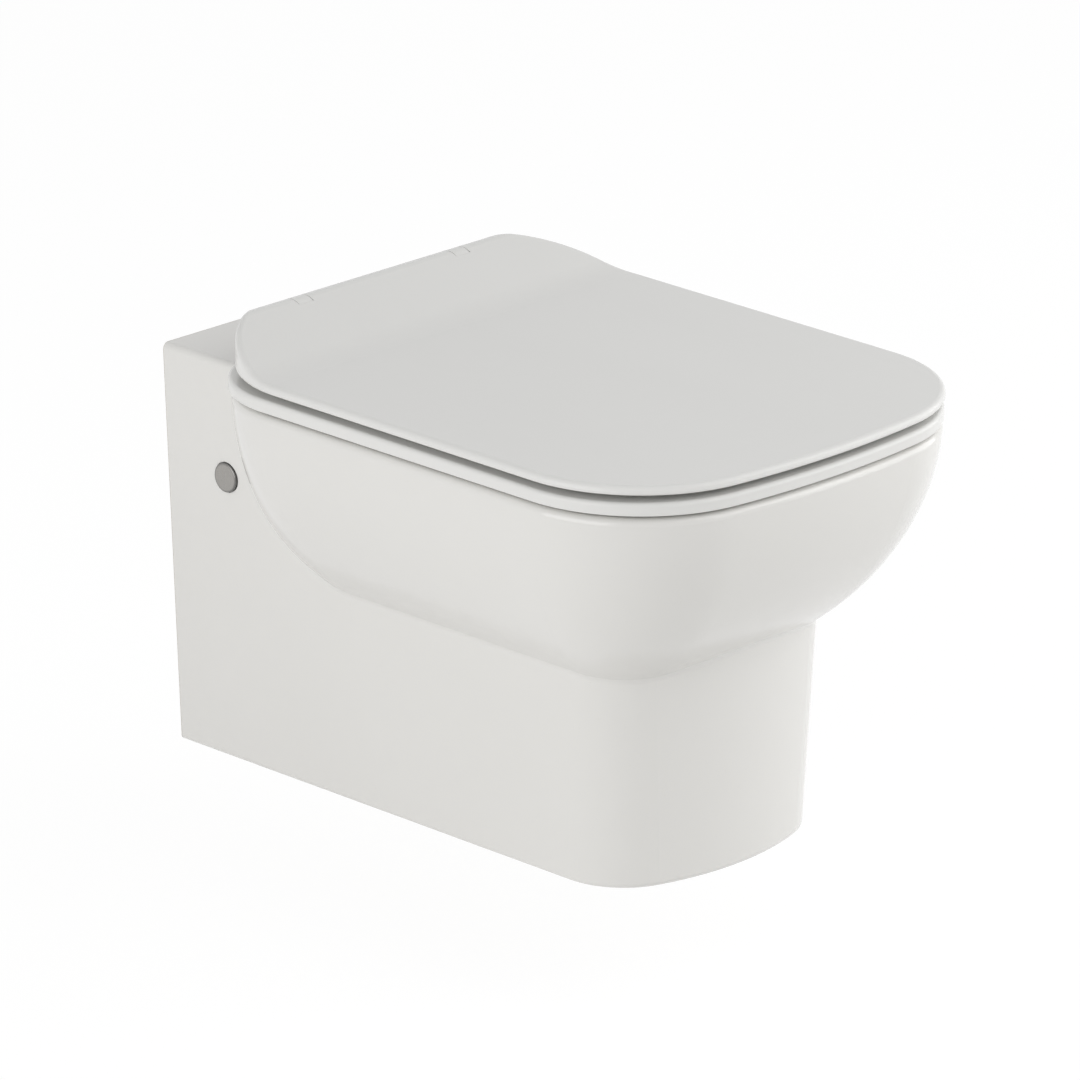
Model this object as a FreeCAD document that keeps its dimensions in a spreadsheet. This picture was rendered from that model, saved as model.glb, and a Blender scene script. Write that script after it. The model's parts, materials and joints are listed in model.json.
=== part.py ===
import FreeCAD, Part
import math
import os
import re

import Sketcher

# Wall hung toilet. The origin lies on the wall, half way between the two wall studs.
# +Z is up, the wall is the plane Y = 0 and the front faces -Y.
# Heights in the sizes count from the underside of the ceramic, and "out" is the distance from the wall.

SIZES = (
    ("rim_height", 304, "ceramic underside to the top of the rim and deck"),
    ("rim_width", 360, "width of the bowl at the rim"),
    ("rim_front", 539, "front of the rim, out from the wall"),
    ("rim_rear", 86.5, "rear of the bowl's outline, out from the wall"),
    ("rim_front_corner", 105, "front corner radius of the rim in plan"),
    ("rim_rear_corner", 82, "rear corner radius of the rim in plan"),
    ("rim_front_bow", 710, "radius of the rim's front between its corners"),
    ("rim_round", 5, "rounding of the rim's outer edge"),
    ("bowl_depth", 152, "rim to the lowest level of the bowl"),
    ("bowl_arc", 0.82, "share of a full quarter turn that the bowl's profile takes"),
    ("bowl_side_inset", 76, "how far the bowl's side comes in, rim to lowest level"),
    ("bowl_front_inset", 94, "how far the bowl's front comes in"),
    ("bowl_rear_inset", 60, "how far the bowl's rear comes in"),
    ("bowl_side_power", 1.8, "squareness of the bowl's side profile"),
    ("bowl_front_power", 1.83, "squareness of the bowl's front profile"),
    ("bowl_rear_power", 5, "squareness of the bowl's rear profile"),
    ("bowl_low_corner", 42, "corner radius of the bowl at its lowest level"),
    ("bowl_low_bow", 700, "front radius of the bowl at its lowest level"),
    ("crease_round", 6, "fillet between the bowl and the pedestal"),
    ("base_width", 211, "pedestal width at the underside"),
    ("base_front", 454, "pedestal front at the underside, out from the wall"),
    ("deck_width", 237, "pedestal width at deck level"),
    ("deck_front", 470.5, "pedestal front at deck level, out from the wall"),
    ("base_corner", 55, "front corner radius of the pedestal"),
    ("base_bow", 214, "radius of the pedestal's front between its corners"),
    ("base_round", 4, "rounding of the pedestal's lower edge"),
    ("shell_wall", 11, "thickness of the ceramic's outer shell"),
    ("floor_wall", 12, "thickness of the ceramic's underside"),
    ("rim_wall", 15, "thickness of the ceramic's deck and rim"),
    ("back_plate", 14, "thickness of the ceramic's back plate"),
    ("window_width", 124, "opening in the back plate for the pipes, width"),
    ("window_low", 40, "lower edge of that opening"),
    ("window_high", 282, "upper edge of that opening"),
    ("rim_ledge", 42.5, "width of the rim beside the basin opening"),
    ("rim_front_ledge", 34, "width of the rim in front of the basin opening"),
    ("basin_rear", 152, "basin opening's rear, out from the wall"),
    ("basin_front_corner", 84, "front corner radius of the basin opening"),
    ("basin_rear_corner", 84, "rear corner radius of the basin opening"),
    ("basin_front_bow", 300, "front radius of the basin opening"),
    ("basin_wall", 10, "thickness of the basin's wall"),
    ("basin_edge_round", 6, "rounding of the basin opening's edge"),
    ("lip_depth", 58, "rim to the flush ledge"),
    ("lip_draft", 4, "how far the lip's wall leans in"),
    ("ledge_width", 11, "width of the flush ledge"),
    ("sump_floor", 44, "height of the sump's floor"),
    ("sump_width", 84, "width of the sump's floor"),
    ("sump_front", 300, "front of the sump's floor, out from the wall"),
    ("sump_rear", 204, "rear of the sump's floor, out from the wall"),
    ("sump_corner", 36, "corner radius of the sump's floor"),
    ("sump_bow", 80, "front radius of the sump's floor"),
    ("basin_power", 1.15, "squareness of the basin's profile"),
    ("trap_bore", 30, "inner radius of the trapway"),
    ("trap_wall", 8, "thickness of the trapway"),
    ("trap_start", 250, "start of the trapway in the sump, out from the wall"),
    ("trap_low", 78, "height of the trapway's lower run"),
    ("trap_dip", 196, "lower bend of the trapway, out from the wall"),
    ("trap_weir", 110, "top bend of the trapway, out from the wall"),
    ("trap_weir_height", 164, "height of that bend's corner"),
    ("trap_drop", 58, "last bend of the trapway, out from the wall"),
    ("trap_bend", 45, "bend radius of the trapway"),
    ("stud_spacing", 180, "distance between the two wall studs"),
    ("stud_height", 217, "height of the wall studs over the underside"),
    ("outlet_below_studs", 100, "waste outlet axis below the studs"),
    ("outlet_radius", 51, "outer radius of the waste outlet"),
    ("outlet_bore", 42, "inner radius of the waste outlet"),
    ("outlet_length", 46, "length of the waste outlet's socket end"),
    ("inlet_above_studs", 35, "flush inlet axis above the studs"),
    ("inlet_bore", 27.5, "inner radius of the flush inlet"),
    ("inlet_wall", 8, "thickness of the flush inlet's tube"),
    ("inlet_depth", 132, "depth of the flush inlet's bore"),
    ("port_width", 76, "width of the flush port into the basin"),
    ("port_height", 32, "height of the flush port"),
    ("seal_length", 36, "length of the inlet seal"),
    ("seal_bore", 22.6, "inner radius of the inlet seal"),
    ("seal_set_back", 1, "inlet seal behind the wall face"),
    ("fit_gap", 0.1, "clearance round pieces that are pushed in"),
    ("run_gap", 0.05, "clearance between a hinge pin and its bush"),
    ("sleeve_radius", 11, "outer radius of the wall sleeve"),
    ("sleeve_bore", 6.1, "bore of the wall sleeve, for an M12 stud"),
    ("sleeve_length", 78, "length of the wall sleeve"),
    ("sleeve_hole_gap", 0.6, "clearance round the sleeve in the back plate"),
    ("groove_depth", 3, "depth of the sleeve's clamp groove"),
    ("side_screw_out", 60.5, "side screw, out from the wall"),
    ("side_hole", 8, "radius of the hole in the ceramic's side"),
    ("side_recess", 1.2, "depth of the recess round the side hole"),
    ("side_recess_gap", 0.5, "clearance round the cap in its recess"),
    ("side_screw_radius", 4, "radius of the side screw"),
    ("side_screw_length", 13, "length of the side screw"),
    ("side_tip", 3, "length of the side screw's pointed tip"),
    ("bush_length", 10, "length of the side bush"),
    ("cap_radius", 11, "radius of the cover cap"),
    ("cap_thick", 3.2, "thickness of the cover cap"),
    ("cap_edge", 1.2, "rounding of the cover cap's edge"),
    ("seat_gap", 2.5, "rim to the underside of the seat"),
    ("seat_thick", 9.5, "thickness of the seat ring"),
    ("seat_over", 0.5, "how far the seat ring stands out over the rim"),
    ("seat_rear", 87, "rear of the seat ring, out from the wall"),
    ("seat_rear_corner", 76, "rear corner radius of the seat ring"),
    ("seat_side_band", 67.5, "rim's side to the seat opening"),
    ("seat_front_band", 72, "rim's front to the seat opening"),
    ("seat_open_rear", 190, "seat opening's rear, out from the wall"),
    ("seat_open_front_corner", 84, "front corner radius of the seat opening"),
    ("seat_open_rear_corner", 60, "rear corner radius of the seat opening"),
    ("seat_open_bow", 160, "front radius of the seat opening"),
    ("seat_round", 3, "rounding of the seat ring's upper edges"),
    ("seat_low_round", 1.5, "rounding of the seat ring's lower edges"),
    ("lid_gap", 5.5, "seat to lid"),
    ("lid_thick", 6.5, "thickness of the lid at its edge"),
    ("lid_skin", 4.5, "thickness of the lid's panel"),
    ("lid_lip", 9, "width of the lid's turned down edge"),
    ("lid_over", 1, "how far the lid stands out over the rim"),
    ("lid_rear_corner", 95, "rear corner radius of the lid"),
    ("lid_round", 4, "rounding of the lid's upper edge"),
    ("lid_low_round", 2, "rounding of the lid's lower edge"),
    ("ramp_out", 174.5, "foot of the lid's rear ramp, out from the wall"),
    ("ramp_foot", 73.5, "radius of the hollow at the foot of that ramp"),
    ("recess_rear", 108, "rear end of the recess under the lid, out from the wall"),
    ("recess_rear_corner", 76, "rear corner radius of that recess"),
    ("hinge_out", 97, "hinge axis, out from the wall"),
    ("hinge_rise", 34, "hinge axis above the rim"),
    ("hinge_spacing", 155, "distance between the two hinge bolts"),
    ("barrel_radius", 13, "radius of the hinge posts' barrels and of the lid's rear edge"),
    ("post_width", 13, "width of the hinge post's barrel"),
    ("post_neck", 8, "depth of the hinge post's neck"),
    ("post_boss", 6.2, "radius of the boss round the bolt in a hinge post"),
    ("post_boss_over", 1.5, "how far that boss reaches above the bolt"),
    ("post_foot", 15, "radius of the hinge post's foot"),
    ("post_foot_thick", 2.4, "thickness of the hinge post's foot"),
    ("barrel_gap", 0.6, "gap between neighbouring hinge barrels"),
    ("lug_width", 27.5, "width of a seat lug"),
    ("lug_radius", 9.5, "radius of a seat lug's barrel"),
    ("cover_gap", 0.7, "clearance between a seat lug and the lid's cover over it"),
    ("cover_back", 9, "rear end of the lid's cover over a lug, behind the hinge axis"),
    ("lug_drop", 24, "hinge axis to the underside of a seat lug"),
    ("lug_back", 6, "seat lug's block behind the hinge axis"),
    ("foot_gap", 1, "clearance round a post's foot in the seat's notch"),
    ("notch_gap", 0.6, "clearance between a post's barrel and the lid's notch round it"),
    ("neck_gap", 4, "clearance in front of a post's neck below the lid"),
    ("lug_gap", 1.5, "clearance in front of a seat lug's block below the lid"),
    ("pin_radius", 4, "radius of the hinge pins"),
    ("pin_reach", 26, "length of a hinge pin in the lid's barrel"),
    ("damper_radius", 6.5, "outer radius of the dampers and hinge bushes"),
    ("lid_bush_length", 28, "length of the lid's damper and bush"),
    ("bolt_radius", 3, "radius of the hinge bolts"),
    ("bolt_below", 46, "length of a hinge bolt below the rim"),
    ("bolt_above", 10, "length of a hinge bolt in its post"),
    ("gasket_thick", 1.2, "thickness of the hinge gaskets"),
    ("hinge_hole", 7, "radius of the hinge holes in the deck"),
    ("plug_bulge", 9.5, "radius of the spread expansion plug"),
    ("plug_length", 18, "length of the expansion plug below the deck"),
    ("nut_radius", 7.5, "radius of the cone nut"),
    ("nut_tip", 4.5, "radius of the cone nut's upper end"),
    ("nut_height", 11, "height of the cone nut"),
    ("buffer_radius", 8, "radius of the rubber buffers"),
    ("buffer_recess", 2, "how deep the seat's buffers are let in"),
    ("buffer_gap", 0.3, "gap under a buffer when it only just rests"),
    ("buffer_front_in", 46, "rim's front to the front buffers"),
    ("buffer_front_side", 96, "front buffers, off the middle"),
    ("buffer_rear_out", 240, "rear buffers, out from the wall"),
    ("buffer_side_in", 34.5, "rim's side to the rear buffers"),
)

ALIASES = {name for name, amount, note in SIZES}
Z_AXIS = FreeCAD.Vector(0, 0, 1)
ORIGIN = (-1, 1)
H_AXIS = -1
V_AXIS = -2
TURN_TO_SIDE = FreeCAD.Rotation(FreeCAD.Vector(0, 1, 0), 90)
TURN_TO_FRONT = FreeCAD.Rotation(FreeCAD.Vector(1, 0, 0), 90)
UPRIGHT = FreeCAD.Rotation()
BOWL_LEVELS = (0, 0.35, 0.62, 0.82, 0.94, 1)
BASIN_LEVELS = (0, 0.3, 0.58, 0.8, 0.93, 1)
TOUCH = 0.01

doc = FreeCAD.newDocument("wall_hung_toilet")
sheet = doc.addObject("Spreadsheet::Sheet", "Sizes")
for row, (name, amount, note) in enumerate(SIZES, start=1):
    sheet.set(f"A{row}", note)
    sheet.set(f"B{row}", str(amount))
    sheet.setAlias(f"B{row}", name)
doc.recompute()
nodes = []


# Expressions and sketches

def sized(text):
    """Writes an expression of size names the way the document's objects read it."""
    def spelt(word):
        return f"Sizes.{word[0]}" if word[0] in ALIASES else word[0]

    return re.sub(r"[a-z][a-z0-9_]*", spelt, text)


def value(text):
    """Works out an expression of size names."""
    return float(sheet.evalExpression(sized(text)))


def new_body(name):
    """Starts one solid."""
    return doc.addObject("PartDesign::Body", name)


def new_sketch(body, plane, offset="0"):
    """Starts a sketch on an origin plane of the body, moved along its normal by an expression."""
    sketch = body.newObject("Sketcher::SketchObject", "Sketch")
    support = next(feature for feature in body.Origin.OriginFeatures if feature.Role == plane)
    sketch.AttachmentSupport = [(support, "")]
    sketch.MapMode = "FlatFace"
    sketch.setExpression("AttachmentOffset.Base.z", sized(offset))
    return sketch


def bind(sketch, kind, where, text):
    """Adds a dimension to a sketch and ties it to an expression."""
    index = sketch.addConstraint(Sketcher.Constraint(kind, *where, value(text)))
    sketch.setExpression(f"Constraints[{index}]", sized(text))


def pin_along(sketch, kind, index, spot, text):
    """Sets one coordinate of a point of a sketch's geometry."""
    if value(text) == 0:
        axis = V_AXIS if kind == "DistanceX" else H_AXIS
        sketch.addConstraint(Sketcher.Constraint("PointOnObject", index, spot, axis))
    elif value(text) > 0:
        bind(sketch, kind, ORIGIN + (index, spot), text)
    else:
        bind(sketch, kind, (index, spot) + ORIGIN, f"-({text})")


def pin_point(sketch, index, spot, x, y):
    """Places a point of a sketch's geometry by its two coordinates."""
    pin_along(sketch, "DistanceX", index, spot, x)
    pin_along(sketch, "DistanceY", index, spot, y)


def draw_circle(sketch, x, y, radius):
    """Draws a circle."""
    middle = FreeCAD.Vector(value(x), value(y), 0)
    index = sketch.addGeometry(Part.Circle(middle, Z_AXIS, value(radius)))
    pin_point(sketch, index, 3, x, y)
    bind(sketch, "Radius", (index,), radius)


def draw_polygon(sketch, corners):
    """Draws a closed outline of straight lines through corners given as pairs of expressions."""
    spots = [FreeCAD.Vector(value(x), value(y), 0) for x, y in corners]
    first = sketch.GeometryCount
    count = len(corners)
    for index in range(count):
        sketch.addGeometry(Part.LineSegment(spots[index], spots[(index + 1) % count]))
    for index, (x, y) in enumerate(corners):
        following = first + (index + 1) % count
        sketch.addConstraint(Sketcher.Constraint("Coincident", first + index, 2, following, 1))
        pin_point(sketch, first + index, 1, x, y)


def draw_box(sketch, x_low, x_high, y_low, y_high):
    """Draws an upright rectangle."""
    draw_polygon(sketch, ((x_low, y_low), (x_high, y_low), (x_high, y_high), (x_low, y_high)))


def draw_line(sketch, x1, y1, x2, y2):
    """Draws a straight line between two places given as numbers and returns its index."""
    return sketch.addGeometry(Part.LineSegment(FreeCAD.Vector(x1, y1, 0), FreeCAD.Vector(x2, y2, 0)))


def draw_arc(sketch, middle, radius, start, end):
    """Draws an arc, anticlockwise from one angle to another, and returns its index."""
    return sketch.addGeometry(Part.ArcOfCircle(Part.Circle(middle, Z_AXIS, radius), start, end))


def draw_plan(sketch, width, front, rear, corner, bow, rear_corner=None):
    """Draws a plan outline: straight sides, a bowed front with round corners, and a straight rear.

    The rear corners are round where rear_corner is given, and sharp otherwise.
    """
    half = value(width) / 2
    front_at = -value(front)
    rear_at = -value(rear)
    round_front = value(corner)
    round_bow = value(bow)
    round_rear = value(rear_corner) if rear_corner else 0
    bow_middle = FreeCAD.Vector(0, front_at + round_bow, 0)
    run = math.sqrt((round_bow - round_front) ** 2 - (half - round_front) ** 2)
    turn = math.atan2(run, half - round_front)
    corner_at = bow_middle.y - run
    shoulder = rear_at - round_rear
    first = sketch.GeometryCount
    inner = half - round_rear
    line = draw_line(sketch, inner, rear_at, -inner, rear_at)
    if rear_corner:
        left_rear = draw_arc(sketch, FreeCAD.Vector(-inner, shoulder, 0), round_rear, math.pi / 2, math.pi)
    left = draw_line(sketch, -half, shoulder, -half, corner_at)
    middle = FreeCAD.Vector(round_front - half, corner_at, 0)
    left_front = draw_arc(sketch, middle, round_front, math.pi, math.pi + turn)
    front_arc = draw_arc(sketch, bow_middle, round_bow, math.pi + turn, 2 * math.pi - turn)
    middle = FreeCAD.Vector(half - round_front, corner_at, 0)
    right_front = draw_arc(sketch, middle, round_front, 2 * math.pi - turn, 2 * math.pi)
    right = draw_line(sketch, half, corner_at, half, shoulder)
    if rear_corner:
        right_rear = draw_arc(sketch, FreeCAD.Vector(inner, shoulder, 0), round_rear, 0, math.pi / 2)
    last = sketch.GeometryCount - 1
    for index in range(first, last + 1):
        following = index + 1 if index < last else first
        sharp = not rear_corner and line in (index, following)
        kind = "Coincident" if sharp else "Tangent"
        sketch.addConstraint(Sketcher.Constraint(kind, index, 2, following, 1))
    sketch.addConstraint(Sketcher.Constraint("Vertical", left))
    sketch.addConstraint(Sketcher.Constraint("Vertical", right))
    sketch.addConstraint(Sketcher.Constraint("Symmetric", line, 1, line, 2, V_AXIS))
    sketch.addConstraint(Sketcher.Constraint("Equal", left_front, right_front))
    sketch.addConstraint(Sketcher.Constraint("PointOnObject", front_arc, 3, V_AXIS))
    apex = sketch.addGeometry(Part.Point(FreeCAD.Vector(0, front_at, 0)), True)
    sketch.addConstraint(Sketcher.Constraint("PointOnObject", apex, 1, V_AXIS))
    sketch.addConstraint(Sketcher.Constraint("PointOnObject", apex, 1, front_arc))
    bind(sketch, "DistanceY", (apex, 1) + ORIGIN, front)
    bind(sketch, "DistanceX", (left, 1, right, 2), width)
    bind(sketch, "Radius", (left_front,), corner)
    bind(sketch, "Radius", (front_arc,), bow)
    pin_along(sketch, "DistanceY", line, 1, f"-({rear})")
    if rear_corner:
        sketch.addConstraint(Sketcher.Constraint("Equal", left_rear, right_rear))
        bind(sketch, "Radius", (left_rear,), rear_corner)


def draw_bent_line(sketch, corners, radius):
    """Draws an open line through corners given as pairs of expressions, with every bend rounded."""
    spots = [FreeCAD.Vector(value(x), value(y), 0) for x, y in corners]
    bend = value(radius)
    ends = [spots[0]]
    bends = []
    for before, spot, after in zip(spots, spots[1:], spots[2:]):
        arrive = (spot - before).normalize()
        leave = (after - spot).normalize()
        turn = arrive.getAngle(leave)
        trim = bend * math.tan(turn / 2)
        inward = (leave - arrive).normalize()
        middle = spot + inward * (bend / math.cos(turn / 2))
        ends += [spot - arrive * trim, spot + leave * trim]
        bends.append((middle, arrive.cross(leave).z > 0))
    ends.append(spots[-1])
    lines = [sketch.addGeometry(Part.LineSegment(ends[k], ends[k + 1])) for k in range(0, len(ends), 2)]
    pin_point(sketch, lines[0], 1, *corners[0])
    pin_point(sketch, lines[-1], 2, *corners[-1])
    for number, (middle, leftward) in enumerate(bends):
        start = ends[2 * number + 1] - middle
        end = ends[2 * number + 2] - middle
        angles = [math.atan2(arm.y, arm.x) for arm in (start, end)]
        arc = draw_arc(sketch, middle, bend, *(angles if leftward else reversed(angles)))
        near, far = (1, 2) if leftward else (2, 1)
        corner = sketch.addGeometry(Part.Point(spots[number + 1]), True)
        pin_point(sketch, corner, 1, *corners[number + 1])
        for index in lines[number:number + 2]:
            sketch.addConstraint(Sketcher.Constraint("PointOnObject", corner, 1, index))
        sketch.addConstraint(Sketcher.Constraint("Tangent", lines[number], 2, arc, near))
        sketch.addConstraint(Sketcher.Constraint("Tangent", arc, far, lines[number + 1], 1))
        bind(sketch, "Radius", (arc,), radius)


# Features

def add_feature(body, kind, sketch, **settings):
    """Adds a feature that works on one sketch."""
    feature = body.newObject(f"PartDesign::{kind}", kind)
    feature.Profile = sketch
    for key, setting in settings.items():
        setattr(feature, key, setting)
    return feature


def extrude(body, kind, sketch, length, **settings):
    """Adds a Pad or a Pocket whose length is an expression."""
    feature = add_feature(body, kind, sketch, **settings)
    feature.setExpression("Length", sized(length))
    return feature


def loft(body, kind, sketches):
    """Adds a loft through a row of sketches."""
    return add_feature(body, kind, sketches[0], Sections=sketches[1:], Ruled=len(sketches) == 2)


def round_edges(body, wanted, radius):
    """Rounds the edges of the body that the test wanted picks out."""
    doc.recompute()
    base = body.Tip
    names = [f"Edge{k}" for k, edge in enumerate(base.Shape.Edges, start=1) if wanted(edge)]
    feature = body.newObject("PartDesign::Fillet", "Fillet")
    feature.Base = (base, names)
    feature.setExpression("Radius", sized(radius))


def middle_of(edge):
    """Gives the point half way along an edge."""
    return edge.valueAt((edge.FirstParameter + edge.LastParameter) / 2)


def is_level(edge, height):
    """Tells whether an edge lies in the level plane at a height given as an expression."""
    return max(abs(edge.BoundBox.ZMin - value(height)), abs(edge.BoundBox.ZMax - value(height))) < TOUCH


def turned_body(name, profile):
    """Makes a solid of revolution round Z from a profile of radius and height expressions."""
    body = new_body(name)
    sketch = new_sketch(body, "XZ_Plane")
    draw_polygon(sketch, profile)
    add_feature(body, "Revolution", sketch, ReferenceAxis=(sketch, ["V_Axis"]), Angle=360)
    return body


def tube_profile(bore, radius, low, high):
    """Gives the profile of a plain tube."""
    return ((bore, low), (radius, low), (radius, high), (bore, high))


def place(body, x="0", y="0", height="0", turn=UPRIGHT):
    """Puts a body at a place given by expressions, its height counted from the ceramic's underside."""
    body.Placement = FreeCAD.Placement(FreeCAD.Vector(), turn)
    for axis, text in zip("xyz", (x, y, f"{height} - stud_height")):
        body.setExpression(f"Placement.Base.{axis}", sized(text))
    return body


def mirror(body):
    """Makes the same piece for the other side."""
    other = doc.addObject("Part::Mirroring", f"{body.Name}_mirror")
    other.Source = body
    other.Normal = FreeCAD.Vector(1, 0, 0)
    return other


def finish(piece, label):
    """Names a finished sub-part and keeps it for writing."""
    piece.Label = label
    nodes.append(piece)


def finish_pairs(bodies, label):
    """Puts bodies and their mirrored twins into one sub-part of separate solids."""
    group = doc.addObject("Part::Compound", "Group")
    group.Links = [piece for body in bodies for piece in (body, mirror(body))]
    finish(group, label)


# Sizes that several pieces share

STUD_SIDE = "stud_spacing / 2"
BASIN_WIDTH = "(rim_width - 2 * rim_ledge)"
BASIN_FRONT = "(rim_front - rim_front_ledge)"
SEAT_WIDTH = "(rim_width + 2 * seat_over)"
SEAT_FRONT = "(rim_front + seat_over)"
SEAT_OPEN_WIDTH = "(rim_width - 2 * seat_side_band)"
SEAT_OPEN_FRONT = "(rim_front - seat_front_band)"
LID_WIDTH = "(rim_width + 2 * lid_over)"
LID_FRONT = "(rim_front + lid_over)"
OUTLET_HEIGHT = "(stud_height - outlet_below_studs)"
INLET_HEIGHT = "(stud_height + inlet_above_studs)"
LEDGE_HEIGHT = "(rim_height - lip_depth)"
PORT_START = "(inlet_depth - port_height / 2)"
SEAT_LOW = "(rim_height + seat_gap)"
SEAT_TOP = "(rim_height + seat_gap + seat_thick)"
LID_LOW = "(rim_height + seat_gap + seat_thick + lid_gap)"
LID_TOP = "(rim_height + seat_gap + seat_thick + lid_gap + lid_thick)"
AXIS_HEIGHT = "(rim_height + hinge_rise)"
BARREL_TOP = "(rim_height + hinge_rise + barrel_radius)"
LID_BEYOND = "(rim_front + lid_over + lid_lip)"
LID_SPAN = "2 * (hinge_rise + barrel_radius)"
POST_SIDE = "(hinge_spacing / 2)"
POST_INNER = "(hinge_spacing / 2 - post_width / 2)"
POST_OUTER = "(hinge_spacing / 2 + post_width / 2)"
LUG_OUTER = "(hinge_spacing / 2 - post_width / 2 - barrel_gap)"
LUG_INNER = "(hinge_spacing / 2 - post_width / 2 - barrel_gap - lug_width)"
BARREL_END = "(hinge_spacing / 2 - post_width / 2 - 2 * barrel_gap - lug_width)"
POST_CLEAR = "(hinge_spacing / 2 + post_width / 2 + barrel_gap)"
COVER_FRONT = "-hinge_out - barrel_radius - lug_gap"
NECK_FRONT = "-hinge_out - post_neck / 2 - neck_gap"
SIDE_AT_STUDS = "((base_width + (deck_width - base_width) * stud_height / rim_height) / 2)"
RECESS_AT = f"({SIDE_AT_STUDS} - side_recess)"
BUFFER_SPOTS = (
    ("(rim_front - buffer_front_in)", "buffer_front_side"),
    ("buffer_rear_out", "(rim_width / 2 - buffer_side_in)"),
)


def pedestal_plan(sketch, height, inset, rear):
    """Draws the pedestal's outline at a height, a wall's thickness in from its face."""
    share = f"(({height}) / rim_height)"
    draw_plan(
        sketch,
        width=f"base_width + (deck_width - base_width) * {share} - 2 * {inset}",
        front=f"base_front + (deck_front - base_front) * {share} - {inset}",
        rear=rear,
        corner=f"base_corner - {inset}",
        bow=f"base_bow - {inset}",
    )


def drawn_in(level, power):
    """Gives the share by which a bowl has come in at a share of its depth."""
    return f"(1 - (1 - ({level}) ^ {power}) ^ (1 / {power}))"


def bowl_plan(sketch, level, inset):
    """Draws the bowl's outline at a share of its depth, a wall's thickness in from its face."""
    side, front, rear = (
        f"({drawn_in(f'{level} * bowl_arc', power)} / {drawn_in('bowl_arc', power)})"
        for power in ("bowl_side_power", "bowl_front_power", "bowl_rear_power")
    )
    draw_plan(
        sketch,
        width=f"rim_width - 2 * bowl_side_inset * {side} - 2 * {inset}",
        front=f"rim_front - bowl_front_inset * {front} - {inset}",
        rear=f"rim_rear + bowl_rear_inset * {rear} + {inset}",
        corner=f"rim_front_corner - (rim_front_corner - bowl_low_corner) * {front} - {inset}",
        bow=f"rim_front_bow - (rim_front_bow - bowl_low_bow) * {front} - {inset}",
        rear_corner=f"rim_rear_corner - (rim_rear_corner - bowl_low_corner) * {rear} - {inset}",
    )


def basin_plan(sketch, level, grow):
    """Draws the basin's outline at a share of the depth below its ledge, grown by a wall's thickness."""
    share = drawn_in(level, "basin_power")
    inset = f"(lip_draft + ledge_width - {grow})"
    top_width = f"({BASIN_WIDTH} - 2 * {inset})"
    top_front = f"({BASIN_FRONT} - {inset})"
    top_rear = f"(basin_rear + {inset})"
    top_corner = f"(basin_front_corner - {inset})"
    top_rear_corner = f"(basin_rear_corner - {inset})"
    top_bow = f"(basin_front_bow - {inset})"
    draw_plan(
        sketch,
        width=f"{top_width} + (sump_width + 2 * {grow} - {top_width}) * {share}",
        front=f"{top_front} + (sump_front + {grow} - {top_front}) * {share}",
        rear=f"{top_rear} + (sump_rear - {grow} - {top_rear}) * {share}",
        corner=f"{top_corner} + (sump_corner + {grow} - {top_corner}) * {share}",
        bow=f"{top_bow} + (sump_bow + {grow} - {top_bow}) * {share}",
        rear_corner=f"{top_rear_corner} + (sump_corner + {grow} - {top_rear_corner}) * {share}",
    )


def lip_plan(sketch, inset):
    """Draws the basin opening's outline, moved in by an expression."""
    draw_plan(
        sketch,
        width=f"{BASIN_WIDTH} - 2 * ({inset})",
        front=f"{BASIN_FRONT} - ({inset})",
        rear=f"basin_rear + ({inset})",
        corner=f"basin_front_corner - ({inset})",
        bow=f"basin_front_bow - ({inset})",
        rear_corner=f"basin_rear_corner - ({inset})",
    )


# Ceramic pan

def level_sketch(body, height):
    """Starts a sketch in a level plane."""
    return new_sketch(body, "XY_Plane", height)


def add_outer_form(body):
    """Builds the outside of the ceramic: the pedestal and the bowl that grows out of it."""
    sketches = []
    for height in ("0", "rim_height"):
        sketch = level_sketch(body, height)
        pedestal_plan(sketch, height, "0", "-back_plate")
        sketches.append(sketch)
    pedestal = loft(body, "AdditiveLoft", sketches)
    sketch = new_sketch(body, "XZ_Plane")
    draw_box(sketch, "-deck_width", "deck_width", "-rim_height", "2 * rim_height")
    extrude(body, "Pocket", sketch, "2 * back_plate")
    sketches = []
    for level in BOWL_LEVELS:
        sketch = level_sketch(body, f"rim_height - bowl_depth * {level}")
        bowl_plan(sketch, level, "0")
        sketches.append(sketch)
    bowl = loft(body, "AdditiveLoft", sketches)
    doc.recompute()
    faces = [feature.AddSubShape.Shells[0] for feature in (pedestal, bowl)]

    def is_crease(edge):
        spot = Part.Vertex(middle_of(edge))
        return all(shell.distToShape(spot)[0] < TOUCH for shell in faces) and not is_level(edge, "rim_height")

    round_edges(body, is_crease, "crease_round")
    round_edges(body, lambda edge: is_level(edge, "rim_height") and middle_of(edge).y < -TOUCH, "rim_round")
    round_edges(body, lambda edge: is_level(edge, "0") and middle_of(edge).y < -TOUCH, "base_round")


def hollow_out(body):
    """Takes out the inside of the ceramic and opens its back plate for the pipes."""
    sketches = []
    for height in ("floor_wall", "rim_height - rim_wall"):
        sketch = level_sketch(body, height)
        pedestal_plan(sketch, height, "shell_wall", "back_plate")
        sketches.append(sketch)
    loft(body, "SubtractiveLoft", sketches)
    sketches = []
    for level in BOWL_LEVELS:
        drop = f"(bowl_depth - shell_wall - rim_wall) * {level}"
        sketch = level_sketch(body, f"rim_height - rim_wall - {drop}")
        bowl_plan(sketch, level, "shell_wall")
        sketches.append(sketch)
    loft(body, "SubtractiveLoft", sketches)
    sketch = new_sketch(body, "XZ_Plane")
    draw_box(sketch, "-window_width / 2", "window_width / 2", "window_low", "window_high")
    extrude(body, "Pocket", sketch, "back_plate + shell_wall", Reversed=True)


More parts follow.
